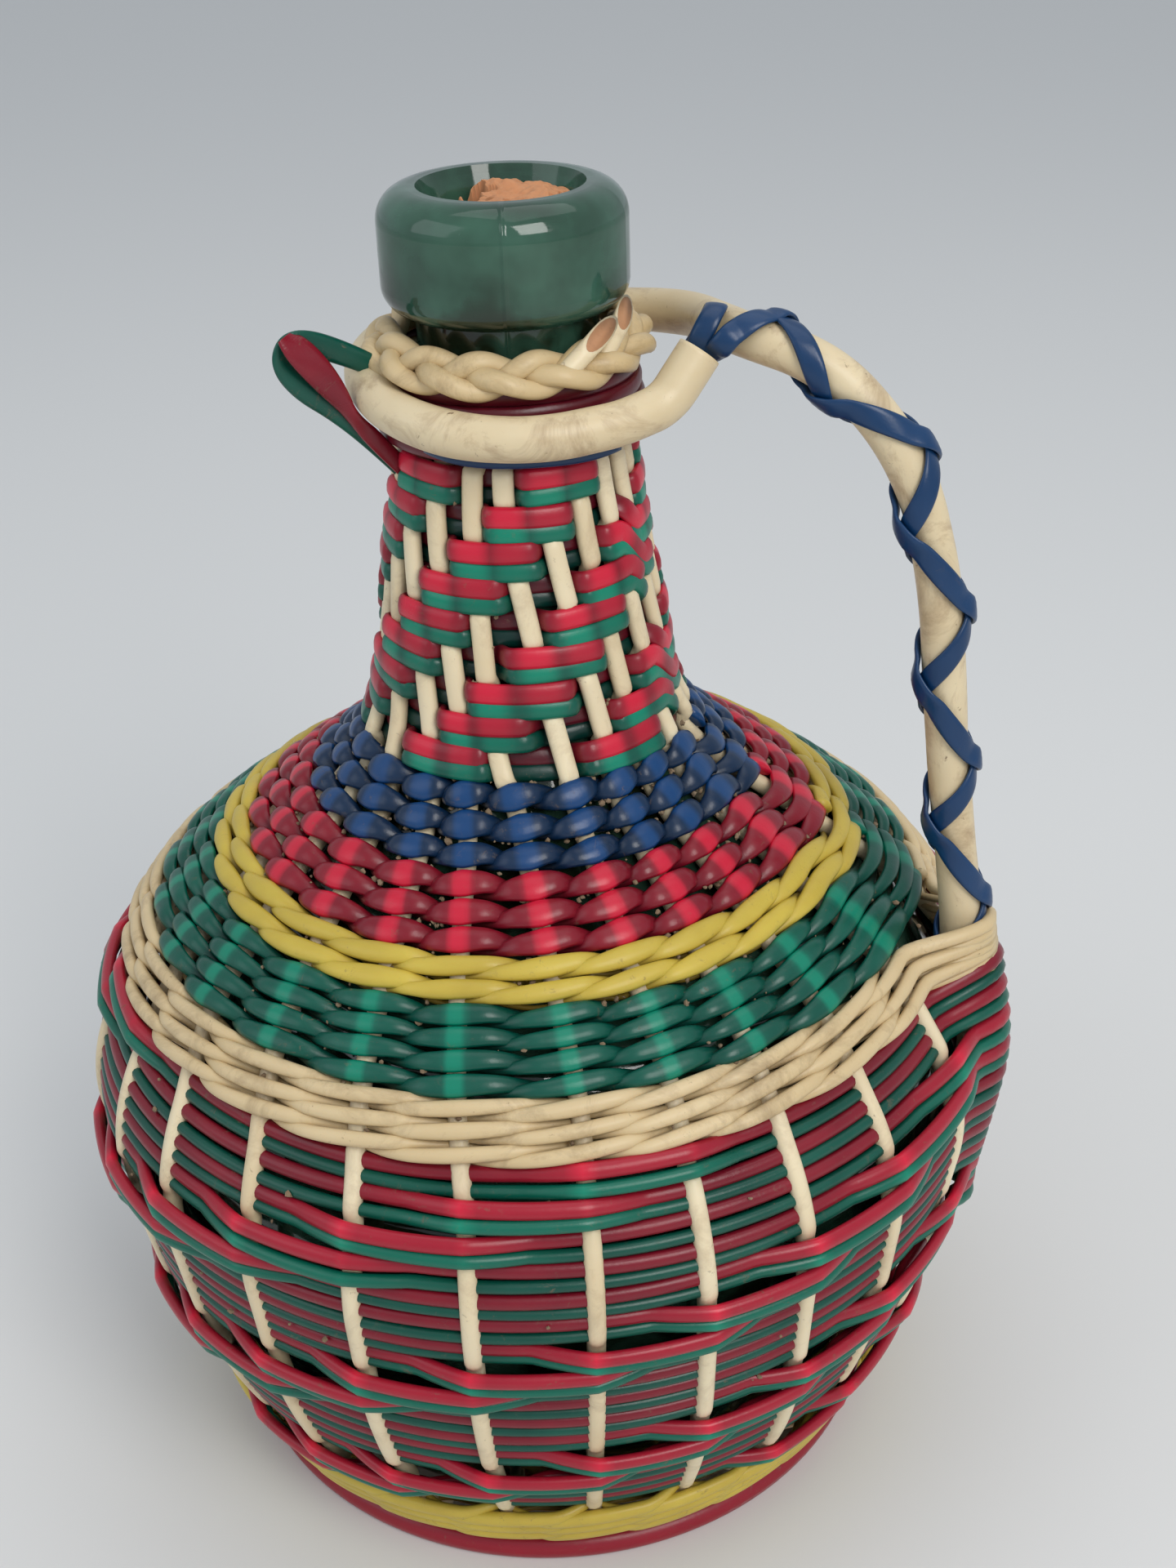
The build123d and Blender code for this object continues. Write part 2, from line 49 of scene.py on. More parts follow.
# How deep the middle of a stake lies under the outline
DEPTH = STRAND_DIA + GAP + STAKE_DIA / 2
FOOT_Z = 5.6
# Points over which the wall's tangent is averaged
TANGENT_WINDOW = 25


def unit(rows):
    return rows / np.linalg.norm(rows, axis=1)[:, None]


def run_of(points):
    """Distance along a line of points from the first one."""
    return np.concatenate([[0], np.cumsum(np.linalg.norm(np.diff(points, axis=0), axis=1))])


def resample(points, step):
    """Evenly spaced points along the same line."""
    gaps = np.linalg.norm(np.diff(points, axis=0), axis=1)
    points = points[np.concatenate([[True], gaps > 1e-6])]
    run = run_of(points)
    at = np.linspace(0, run[-1], max(2, int(round(run[-1] / step)) + 1))
    return np.stack([np.interp(at, run, points[:, k]) for k in range(points.shape[1])], axis=1)


def inset(corners, depth):
    """Corners of the line that runs at a depth inside the line through the given corners."""
    lines = []
    for (x0, y0), (x1, y1) in zip(corners[:-1], corners[1:]):
        run = math.hypot(x1 - x0, y1 - y0)
        tx, ty = (x1 - x0) / run, (y1 - y0) / run
        lines.append((x0 - ty * depth, y0 + tx * depth, tx, ty, run))
    out = [lines[0][:2]]
    for (px, py, tx, ty, _), (qx, qy, sx, sy, _) in zip(lines[:-1], lines[1:]):
        along = ((qx - px) * sy - (qy - py) * sx) / (tx * sy - ty * sx)
        out.append((px + tx * along, py + ty * along))
    px, py, tx, ty, run = lines[-1]
    out.append((px + tx * run, py + ty * run))
    return out


def rounded(points, radii, step):
    """Dense points along straight runs with rounded corners, in the plane or in space."""
    points = [np.array(p, float) for p in points]
    out = [points[0]]
    for k, radius in enumerate(radii):
        before, corner, after = points[k], points[k + 1], points[k + 2]
        u = (before - corner) / np.linalg.norm(before - corner)
        v = (after - corner) / np.linalg.norm(after - corner)
        half = math.acos(max(-1.0, min(1.0, float(-u @ v)))) / 2
        middle = (u + v) / np.linalg.norm(u + v)
        centre = corner + middle * (radius / math.cos(half))
        start = corner + u * (radius * math.tan(half))
        first = (start - centre) / radius
        for turned in np.linspace(0, 2 * half, max(3, int(2 * half * radius / step))):
            out.append(centre + radius * (first * math.cos(turned) - u * math.sin(turned)))
    out.append(points[-1])
    return resample(np.array(out), step)


stake_corners = inset(COVER, DEPTH)
(x0, z0), (x1, z1) = stake_corners[:2]
foot_radius = x0 + (x1 - x0) * (FOOT_Z - z0) / (z1 - z0)
WALL = rounded([(foot_radius, FOOT_Z)] + stake_corners[1:], WALL_BENDS, 0.25)
WALL_RUN = run_of(WALL)
WALL_TAN = np.gradient(WALL, WALL_RUN, axis=0)
for k in range(2):
    padded = np.pad(WALL_TAN[:, k], TANGENT_WINDOW // 2, mode="edge")
    WALL_TAN[:, k] = np.convolve(padded, np.ones(TANGENT_WINDOW) / TANGENT_WINDOW, mode="valid")


def wall(s):
    """Radius, height and unit tangent (radius, height) of the stake line at run s."""
    s = np.asarray(s, float)
    r, z = (np.interp(s, WALL_RUN, WALL[:, k]) for k in range(2))
    tr, tz = (np.interp(s, WALL_RUN, WALL_TAN[:, k]) for k in range(2))
    n = np.hypot(tr, tz)
    return r, z, tr / n, tz / n


# ---------------------------------------------------------------- stakes' angles, in degrees
# Stakes 16 to 24 and 0 face the camera, and their places were measured. The rest are spread evenly, with a
# little scatter on the body.
N = 25
LEFTMOST = 16
SLOT = 22.0
EVEN = SLOT / 2 + (360 - SLOT) / (N - 1) * np.arange(N)
STEP_DEG = 14.1
FRONT_SHIFT = {16: -0.7, 17: -0.3, 18: -0.3, 19: -0.9, 20: -1.0, 21: -2.1, 22: -3.6, 23: -3.8, 24: -1.7}
# Angles from FRONT at the foot, middle and top of the neck
NECK_LOW = {16: -76, 17: -57, 18: -37.5, 19: -23.1, 20: -9.5, 21: 12.5, 22: 29.7, 23: 43.5, 24: 61, 0: 79}
NECK_MID = {16: -79.7, 17: -64.5, 18: -48.3, 19: -32.3, 20: -16.7, 21: 3.5, 22: 21.7, 23: 37.5, 24: 54.2,
            0: 70}
NECK_TOP = {16: -88, 17: -72, 18: -59.8, 19: -42, 20: -21.5, 21: -6, 22: 13.3, 23: 31.2, 24: 47, 0: 62}
# Heights where the stakes' drift from body to neck is known, with the share of the way for left and right
DRIFT_Z = [133.0, 142.0, 153.0, 160.0, 166.0]
LEFT_SHARE = [0.15, 0.27, 0.47, 0.63, 0.84]
RIGHT_SHARE = [0.0, 0.09, 0.25, 0.43, 0.62]
MIDDLE_SHARE = [(a + b) / 2 for a, b in zip(LEFT_SHARE, RIGHT_SHARE)]
# Runs along the wall at which TABLE gives the angles
RUNS_BELOW, RUNS_ABOVE = [0.0, 60.0, 118.0], [201.0, 227.6, 255.5, 263.0]
CONTROL_RUN = np.concatenate([RUNS_BELOW, np.interp(DRIFT_Z, WALL[:, 1], WALL_RUN), RUNS_ABOVE])


def neck_angles(known):
    """Angles of all stakes on the neck, from those that face the camera."""
    first, last = known[0] + FRONT, known[LEFTMOST] + FRONT + 360.0
    out = first + (last - first) * np.arange(N) / LEFTMOST
    for i in range(LEFTMOST, N):
        out[i] = known[i] + FRONT + 360.0
    return out


body_line = EVEN + rng.normal(0, 0.5, N)
for i, shift in FRONT_SHIFT.items():
    body_line[i] = EVEN[i] + shift
neck_line = neck_angles(NECK_LOW)
share = np.array([LEFT_SHARE if 14 <= i <= 19 else RIGHT_SHARE if i >= 20 or i <= 1 else MIDDLE_SHARE
                  for i in range(N)]).T
TABLE = np.concatenate([
    [EVEN, EVEN + 0.6 * (body_line - EVEN), body_line],
    body_line + share * (neck_line - body_line),
    [neck_line, neck_angles(NECK_MID), neck_angles(NECK_TOP), neck_angles(NECK_TOP)],
])


def smooth_interp(x, xs, ys):
    """Values of a smooth curve through the points of a table."""
    x = np.clip(x, xs[0], xs[-1])
    j = np.clip(np.searchsorted(xs, x, side="right") - 1, 0, len(xs) - 2)
    t = (x - xs[j]) / (xs[j + 1] - xs[j])
    slope = np.gradient(ys, xs)
    h = xs[j + 1] - xs[j]
    return ((2 * t**3 - 3 * t**2 + 1) * ys[j] + (t**3 - 2 * t**2 + t) * h * slope[j]
            + (-2 * t**3 + 3 * t**2) * ys[j + 1] + (t**3 - t**2) * h * slope[j + 1])


def stake_angle(i, s):
    """Angle of stake i (any whole number, going on round) at run s."""
    i = np.asarray(i)
    turn, k = np.divmod(i, N)
    s = np.broadcast_to(np.asarray(s, float), i.shape)
    out = np.zeros(i.shape)
    for index in range(N):
        mask = k == index
        if mask.any():
            out[mask] = smooth_interp(s[mask], CONTROL_RUN, TABLE[:, index])
    return out + 360.0 * turn


def angle_at(u, s):
    """Angle at the fractional stake number u and run s."""
    i = np.floor(u).astype(int)
    f = u - i
    return stake_angle(i, s) * (1 - f) + stake_angle(i + 1, s) * f


def on_wall(s, degrees, lift):
    """Points at run s, angle and lift off the stake line, and their outward normals."""
    r, z, tr, tz = wall(s)
    a = np.radians(degrees)
    c, q = np.cos(a), np.sin(a)
    normal = np.stack([tz * c, tz * q, -tr], axis=1)
    spot = np.stack([r * c, r * q, z], axis=1) + normal * np.asarray(lift)[:, None]
    return spot, normal


# ---------------------------------------------------------------- mesh building
def smoothstep(t):
    t = np.clip(t, 0, 1)
    return t * t * (3 - 2 * t)


def frames_along(spots, outward, closed=False):
    """Unit across and outward vectors square to the run of the points."""
    if closed:
        tangent = unit(np.roll(spots, -1, axis=0) - np.roll(spots, 1, axis=0))
    else:
        tangent = unit(np.gradient(spots, axis=0))
    outward = unit(outward - tangent * np.sum(outward * tangent, axis=1)[:, None])
    return np.cross(tangent, outward), outward


def add_mesh(name, spots, faces, material):
    """Object made of faces between points in metres."""
    mesh = bpy.data.meshes.new(name)
    mesh.from_pydata(spots.tolist(), [], faces)
    mesh.update()
    piece = bpy.data.objects.new(name, mesh)
    bpy.context.collection.objects.link(piece)
    piece.data.materials.append(material)
    return piece


class Soup:
    """Collects tubes into one mesh, with two numbers for the material at each point.

    glow is 1 where a pale stake backs the tube: it paints the light of the stake showing through the tube.
    tint shifts its colour between deep and plain: a tone set for each piece, and painted shade where a strand
    runs behind the stakes.
    """

    def __init__(self):
        self.verts, self.faces, self.glow, self.tint, self.base = [], [], [], [], 0

    def tube(self, spots, across, outward, half_wide, half_thick, sides, glow=0.0, tint=0.5, closed=False,
             power=2.0, roll=None, shear=None):
        """Tube along points in mm.

        power 2 is an ellipse and more is boxier, roll turns the section, and shear slants it along the run.
        """
        m = len(spots)
        half_wide = np.broadcast_to(half_wide, m)[:, None]
        half_thick = np.broadcast_to(half_thick, m)[:, None]
        turned = np.linspace(0, 2 * math.pi, sides, endpoint=False)
        c, q = np.cos(turned), np.sin(turned)
        if power != 2.0:
            c = np.sign(c) * np.abs(c) ** (2 / power)
            q = np.sign(q) * np.abs(q) ** (2 / power)
        if roll is not None:
            roll = np.asarray(roll)[:, None]
            across, outward = (across * np.cos(roll) + outward * np.sin(roll),
                               outward * np.cos(roll) - across * np.sin(roll))
        ring = (spots[:, None, :] + across[:, None, :] * (half_wide * c[None, :])[:, :, None]
                + outward[:, None, :] * (half_thick * q[None, :])[:, :, None])
        if shear is not None:
            along = np.cross(outward, across)[:, None, :]
            ring = ring + along * (np.asarray(shear)[:, None] * half_thick * q[None, :])[:, :, None]
        self.verts.append(ring.reshape(-1, 3))
        self.glow.append(np.repeat(np.broadcast_to(glow, m), sides))
        self.tint.append(np.repeat(np.broadcast_to(tint, m), sides))
        k = np.arange(sides)
        here = np.arange(m if closed else m - 1)[:, None] * sides
        ahead = (here + sides) % (m * sides)
        corners = [here + k, here + (k + 1) % sides, ahead + (k + 1) % sides, ahead + k]
        self.faces += (self.base + np.stack(corners, axis=2)).reshape(-1, 4).tolist()
        if not closed:
            self.faces.append((self.base + k[::-1]).tolist())
            self.faces.append((self.base + (m - 1) * sides + k).tolist())
        self.base += m * sides

    def build(self, name, material):
        piece = add_mesh(name, np.concatenate(self.verts) * MM, self.faces, material)
        mesh = piece.data
        for label, data in (("glow", self.glow), ("tint", self.tint)):
            attribute = mesh.attributes.new(label, "FLOAT", "POINT")
            attribute.data.foreach_set("value", np.concatenate(data).astype(np.float32))
        mesh.polygons.foreach_set("use_smooth", [True] * len(mesh.polygons))
        mesh.update()
        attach(piece, "flask")
        return piece


# ---------------------------------------------------------------- materials
def node(tree, kind, **settings):
    n = tree.nodes.new(kind)
    for key, value in settings.items():
        setattr(n, key, value)
    return n


def feed(t, socket, value):
    """Give a socket a number or a colour, or link another socket to it."""
    if isinstance(value, (int, float)):
        socket.default_value = value
    elif isinstance(value, tuple):
        socket.default_value = value if len(value) == 4 else value + (1.0,)
    else:
        t.links.new(value, socket)


def tree_of(material):
    """The material's emptied tree with a Principled shader in it."""
    material.use_nodes = True
    t = material.node_tree
    t.nodes.clear()
    out = node(t, "ShaderNodeOutputMaterial")
    shader = node(t, "ShaderNodeBsdfPrincipled")
    feed(t, out.inputs[0], shader.outputs[0])
    return t, shader


def noise(t, coord, scale, detail, rough=0.55, distortion=0.0):
    n = node(t, "ShaderNodeTexNoise")
    for label, value in (("Vector", coord), ("Scale", scale), ("Detail", detail), ("Roughness", rough),
                         ("Distortion", distortion)):
        feed(t, n.inputs[label], value)
    return n.outputs["Fac"]


def ramp(t, value, low, high, a=(0, 0, 0, 1), b=(1, 1, 1, 1)):
    n = node(t, "ShaderNodeValToRGB")
    for element, position, colour in zip(n.color_ramp.elements, (low, high), (a, b)):
        element.position = position
        element.color = colour
    feed(t, n.inputs[0], value)
    return n.outputs[0]


def mix(t, factor, a, b):
    n = node(t, "ShaderNodeMix", data_type="RGBA", blend_type="MIX")
    for index, value in ((0, factor), (6, a), (7, b)):
        feed(t, n.inputs[index], value)
    return n.outputs[2]


def math_node(t, operation, a, b, clamp=False):
    n = node(t, "ShaderNodeMath", operation=operation, use_clamp=clamp)
    feed(t, n.inputs[0], a)
    feed(t, n.inputs[1], b)
    return n.outputs[0]


def plus(t, a, b):
    return math_node(t, "ADD", a, b)


def times(t, a, b, clamp=False):
    return math_node(t, "MULTIPLY", a, b, clamp)


def attribute_of(t, name):
    return node(t, "ShaderNodeAttribute", attribute_name=name).outputs["Fac"]


def place_of(t):
    return node(t, "ShaderNodeTexCoord").outputs["Object"]


def bump(t, shader, height, strength, distance):
    n = node(t, "ShaderNodeBump")
    n.inputs["Strength"].default_value = strength
    n.inputs["Distance"].default_value = distance
    feed(t, n.inputs["Height"], height)
    feed(t, shader.inputs["Normal"], n.outputs[0])


def soften(shader, weight, radius):
    """Let a little light travel under the surface."""
    shader.inputs["Subsurface Weight"].default_value = weight
    shader.inputs["Subsurface Radius"].default_value = radius
    shader.inputs["Subsurface Scale"].default_value = 0.0015


def strand_material(name, deep, plain, lit, rough=0.32, dirt=0.85):
    """Thin glossy plastic tube: deep where nothing is behind it, a painted shade, and lit where a pale stake
    backs it, a painted light.
    """
    m = bpy.data.materials.new(name)
    t, shader = tree_of(m)
    coord = place_of(t)
    cloud = noise(t, coord, 60.0, 3.0)
    # A low tint, given where a strand runs behind the stakes, moves the colour towards deep: painted shade
    light = plus(t, times(t, cloud, 0.6), times(t, attribute_of(t, "tint"), 0.5))
    base = mix(t, ramp(t, light, 0.3, 0.85), deep, plain)
    # glow moves it towards lit: painted light of a pale stake showing through the strand
    base = mix(t, times(t, attribute_of(t, "glow"), 0.9, True), base, lit)
    specks = ramp(t, noise(t, coord, 420.0, 5.0, 0.75, 0.6), 0.60, 0.72)
    patches = ramp(t, noise(t, coord, 45.0, 2.0), 0.42, 0.62)
    dust = times(t, specks, times(t, patches, dirt))
    feed(t, shader.inputs["Base Color"], mix(t, dust, base, (0.16, 0.11, 0.07)))
    wear = plus(t, times(t, cloud, 0.25), rough - 0.12)
    feed(t, shader.inputs["Roughness"], plus(t, wear, times(t, dust, 0.5)))
    shader.inputs["IOR"].default_value = 1.44
    soften(shader, 0.12, (1.0, 0.5, 0.3))
    bump(t, shader, plus(t, noise(t, coord, 900.0, 4.0, 0.7), times(t, cloud, 2.0)), 0.12, 0.0004)
    return m


def cream_material(name, pale, warm, grime, rough=0.45, dirt=0.6):
    """Pale plastic, cane or cork: cloudy, with smears of grime and dark specks."""
    m = bpy.data.materials.new(name)
    t, shader = tree_of(m)
    coord = place_of(t)
    cloud = noise(t, coord, 38.0, 4.0)
    # tint moves the colour between warm and pale: a tone set for each piece, and painted shade on wale
    # strands where they run behind the stakes
    light = plus(t, times(t, cloud, 0.7), times(t, attribute_of(t, "tint"), 0.35))
    base = mix(t, ramp(t, light, 0.3, 0.8), warm, pale)
    smear = ramp(t, noise(t, coord, 70.0, 6.0, 0.72, 0.8), 0.50, 0.74)
    base = mix(t, times(t, smear, min(0.8 * dirt, 0.95)), base, grime)
    specks = ramp(t, noise(t, coord, 520.0, 4.0, 0.7, 0.5), 0.66, 0.74)
    feed(t, shader.inputs["Base Color"], mix(t, times(t, specks, 0.9 * dirt), base, (0.17, 0.10, 0.05)))
    feed(t, shader.inputs["Roughness"], plus(t, times(t, cloud, 0.25), rough - 0.12))
    soften(shader, 0.15, (1.0, 0.7, 0.4))
    bump(t, shader, plus(t, cloud, times(t, noise(t, coord, 700.0, 4.0), 0.5)), 0.2, 0.0005)
    return m


# Each strand colour is a deep copy for painted shade, a plain one, and a lit copy for painted light
RED = strand_material("red_tube", (0.085, 0.004, 0.011), (0.25, 0.007, 0.019), (0.66, 0.014, 0.045))
GREEN = strand_material("green_tube", (0.001, 0.028, 0.022), (0.001, 0.095, 0.062), (0.002, 0.24, 0.145))
BLUE = strand_material("blue_tube", (0.002, 0.010, 0.026), (0.004, 0.024, 0.070), (0.006, 0.058, 0.190))
RIM = strand_material("red_rim", (0.28, 0.008, 0.022), (0.42, 0.012, 0.035), (0.66, 0.014, 0.045))
BLUE_TIE = strand_material("blue_tie", (0.003, 0.018, 0.054), (0.005, 0.038, 0.115), (0.010, 0.085, 0.25),
                           0.30, 0.25)
YELLOW = strand_material("yellow_tube", (0.34, 0.22, 0.030), (0.60, 0.45, 0.065), (0.72, 0.58, 0.14), 0.4)
STAKE = cream_material("cream_stake", (0.83, 0.72, 0.50), (0.68, 0.54, 0.33), (0.35, 0.22, 0.11))
WALE = cream_material("cream_wale", (0.68, 0.53, 0.31), (0.54, 0.39, 0.19), (0.24, 0.15, 0.07), 0.45, 0.8)
HANDLE = cream_material("cream_handle", (0.77, 0.66, 0.45), (0.62, 0.48, 0.28), (0.30, 0.18, 0.09), 0.42, 1.0)

# ---------------------------------------------------------------- stakes
# Bands of rows from the foot upwards: low and high run along the wall
BAND = {}
low = 5.5
for label, width in (("base", 14.5), ("body", 103.7), ("cream", 11.6), ("green", 17.4), ("yellow", 9.6),
                     ("red", 17.2), ("blue", 19.3), ("neck", 62.1)):
    BAND[label] = (low, low + width)
    low += width

# Rows of a twill: count, period and phase in stakes, a stake's lift where it is seen and where it is covered,
# and the run over which it changes. A strand lies outside 2 stakes of each period.
TWILL = {"body": (17, 6, 4, 0.5, -0.4, 1.6), "neck": (9, 4, 2, 2.1, 0.0, 0.9)}
TWILL_OVER = 2
# Run over which a stake shines through a strand, to each side of it
GLOW_WIDE = {"body": 2.0, "neck": 2.3}
# Radius and height of a stake under the flask, and of its top end in the collar
SPOKE = ((23.0, 5.6), (40.0, 5.6), (56.0, 5.6), (63.0, 5.7), (67.5, 6.9))
STAKE_HEAD = (20.2, 249.0)
HEAD_RUN = 262.0
# Points at the foot of the wall that the bend out of the spoke takes up
FOOT_POINTS = 10


def stake_lift(i, s):
    """How far out a stake lies along its run: out where it is seen, in where strands cover it."""
    lift = np.zeros(len(s))
    step = 0.1
    for band, (rows, period, phase, seen, covered, soft) in TWILL.items():
        low, high = BAND[band]
        pitch = (high - low) / rows
        fine = np.arange(low, high, step)
        row = np.clip(np.floor((high - fine) / pitch), 0, rows - 1).astype(int)
        hidden = ((i + N * row + phase) % period) < TWILL_OVER
        width = int(soft / step)
        padded = np.pad(np.where(hidden, covered, seen), width, mode="edge")
        value = np.convolve(padded, np.hanning(2 * width + 1) / width, mode="valid")
        inside = (s >= low) & (s < high)
        lift[inside] = np.interp(s[inside], fine, value)
    return lift


def at_stake(i, run, radius, height):
    """A point on stake i's side of the axis."""
    a = math.radians(float(stake_angle(np.array([i]), run)[0]))
    return (radius * math.cos(a), radius * math.sin(a), height)


soup = Soup()
for i in range(N):
    s = np.arange(0, WALL_RUN[-1], 0.9)
    lift = stake_lift(i, s) + rng.normal(0, 0.12) + 0.2 * np.sin(s / 17 + rng.uniform(0, 6))
    lean = rng.normal(0, 0.22) * np.sin(s / 31 + rng.uniform(0, 6))
    spot, _ = on_wall(s, stake_angle(np.full(len(s), i), s) + lean, lift)
    foot = [at_stake(i, 0.0, radius, height) for radius, height in SPOKE]
    pts = resample(np.concatenate([foot, spot[FOOT_POINTS:], [at_stake(i, HEAD_RUN, *STAKE_HEAD)]]), 0.95)
    out = unit(np.stack([pts[:, 0], pts[:, 1], np.zeros(len(pts))], axis=1))
    out[:, 2] = np.where(pts[:, 2] > 130, 0.7, np.where(pts[:, 2] < 12, -3.0, 0.0))
    across, out = frames_along(pts, out)
    # Stakes are flatter on the neck
    flat = smoothstep((pts[:, 2] - 150) / 30)
    tint = rng.uniform(0.2, 0.9)
    soup.tube(pts, across, out, 1.85 + 0.2 * flat, 1.8 - 0.3 * flat, 12, tint=tint, power=2.3)
stakes = soup.build("stakes_woven", STAKE)
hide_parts("stakes")

# ---------------------------------------------------------------- line of the handle rod
ROD_R = 4.25
# Corners of the upright from its tail behind the belly rows to its upper end, and the bends at them
UPRIGHT = [(92.8, 0, 67.4), (98.6, 0, 101.6), (92.8, 0, 125.7), (92.2, 0, 136), (87.6, 0, 170), (84, 0, 208),
           (77.5, 0, 232.5), (61.5, 0, 249), (46, 0, 253.5)]
UPRIGHT_BENDS = [40, 60, 120, 120, 120, 50, 34]
UP_LINE = rounded(UPRIGHT, UPRIGHT_BENDS, 0.5)
TAIL_LOW = 64.0
ROD_GAP = 0.25


def past_rod(angle_deg, r, z, half):
    """How much further out than r a strand must lie to pass outside the rod, and how near the rod it is."""
    centre = np.interp(z, UP_LINE[:, 2], UP_LINE[:, 0])
    aside = np.abs(r * np.sin(np.radians(angle_deg)))
    bell = smoothstep(1.12 - aside / 15.0)
    near = (np.cos(np.radians(angle_deg)) > 0.9) & (z > TAIL_LOW - 3)
    need = np.maximum(centre + ROD_R + ROD_GAP + half - r, 0) * bell
    return np.where(near, need, 0.0), np.where(near, bell, 0.0)


# ---------------------------------------------------------------- twill pairs of the body and neck
def spiral(rows, steps):
    """Stake numbers along a spiral, and the rows it has dropped: one in the handle slot at each turn."""
    u = np.arange(0, N * rows, 1.0 / steps)
    turn = np.floor(u / N)
    return u, turn + smoothstep(u - turn * N - (N - 1))


def twill(band, wides, thick, behind, outside, edge, width):
    """Red over green pairs in one spiral, which lies outside two stakes and then behind the next ones."""
    rows, period, phase = TWILL[band][:3]
    low, high = BAND[band]
    pitch = (high - low) / rows
    u, drop = spiral(rows, 14)
    i = np.floor(u).astype(int)
    f = u - i

    def outside_at(k):
        return (((k + phase) % period) < TWILL_OVER).astype(float)

    s0, s1 = outside_at(i), outside_at(i + 1)
    blend = smoothstep((f - np.where(s1 > s0, edge, 1 - edge)) / width + 0.5)
    if band == "body":
        blend = 0.12 * blend + 0.88 * f
    over = s0 * (1 - blend) + s1 * blend
    # A stake shines through the strand most at the first of its two crossings
    first = (np.where(f < 0.5, i, i + 1) + phase) % period
    backed = np.where(first == 0, 1.0, np.where(first == 1, 0.5, 0.0))
    dim, power = (0.05, 2.35) if band == "neck" else (0.42, 2.0)
    soups = {}
    for colour, place, half_wide, proud in (("red", 0.26, wides[0], 0.3), ("green", 0.76, wides[1], 0.0)):
        soup = soups[colour] = Soup()
        wander = 0.22 * np.sin(u * 0.61 + rng.uniform(0, 6)) + 0.16 * np.sin(u * 1.37 + rng.uniform(0, 6))
        s = high - pitch * (drop + place) + wander
        s = np.clip(s, low + half_wide * 0.7, high - half_wide * 0.6)
        lift = behind + (outside + proud - behind) * over + 0.12 * np.sin(u * 0.9 + rng.uniform(0, 6))
        angle = angle_at(u, s)
        r, z, _, tz = wall(s)
        if band == "body":
            need, _ = past_rod(angle, r, z, thick)
            lift = np.maximum(lift, need / tz)
        spot, normal = on_wall(s, angle, lift)
        across, out = frames_along(spot, normal)
        aside = np.minimum(f, 1 - f) * (np.radians(STEP_DEG) * r)
        # glow paints the light of a pale stake showing through the strand where it lies outside
        glow = np.exp(-(aside / GLOW_WIDE[band]) ** 4) * backed * over
        # On the body every strand gets some painted light, more where it lies outside
        if band == "body":
            glow = np.maximum(glow, 0.12 + 0.22 * over)
        # A low tint (dim) paints shade where the strand runs behind the stakes
        soup.tube(spot, across, out, half_wide * (0.93 + 0.07 * over), thick, 12, glow=glow,
                  tint=dim + (0.95 - dim) * over, power=power)
    return soups


for band, wides, thick, behind, outside, edge, width in (
        ("body", (1.72, 1.42), 1.32, -3.2, 3.3, 0.5, 1.04),
        ("neck", (2.2, 1.95), 1.05, -0.5, 3.1, 0.38, 0.36)):
    made = twill(band, wides, thick, behind, outside, edge, width)
    for colour, material in (("red", RED), ("green", GREEN)):
        piece = made[colour].build(f"{band}_rows_{colour}_woven", material)
        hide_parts(f"{band}_rows_{colour}")

# Rings between the handle's ring and the collar, guessed from a red sliver
soup = Soup()
for k, height in enumerate((236.2, 239.8, 243.4, 247.0)):
    a = np.radians(np.arange(0, 360, 3.0))
    r = 25.0 - 0.35 * k + 0.25 * np.sin(4 * a + k)
    spot = np.stack([r * np.cos(a), r * np.sin(a), np.full(len(a), height)], axis=1)
    across, out = frames_along(spot, np.stack([np.cos(a), np.sin(a), 0 * a], axis=1), closed=True)
    # Their low tint paints them mostly in the deep colour, a painted shade
    soup.tube(spot, across, out, 1.9, 1.0, 10, tint=0.15, closed=True)
soup.build("neck_top_rows_red", RED)

# ---------------------------------------------------------------- twined and waled rows: slanting lenses
# Half width at the ends of a lens, the least half thickness, and the lift of a strand behind the stakes
LENS_THIN, LENS_LEAST, LENS_DEPTH = 0.55, 0.6, -1.9


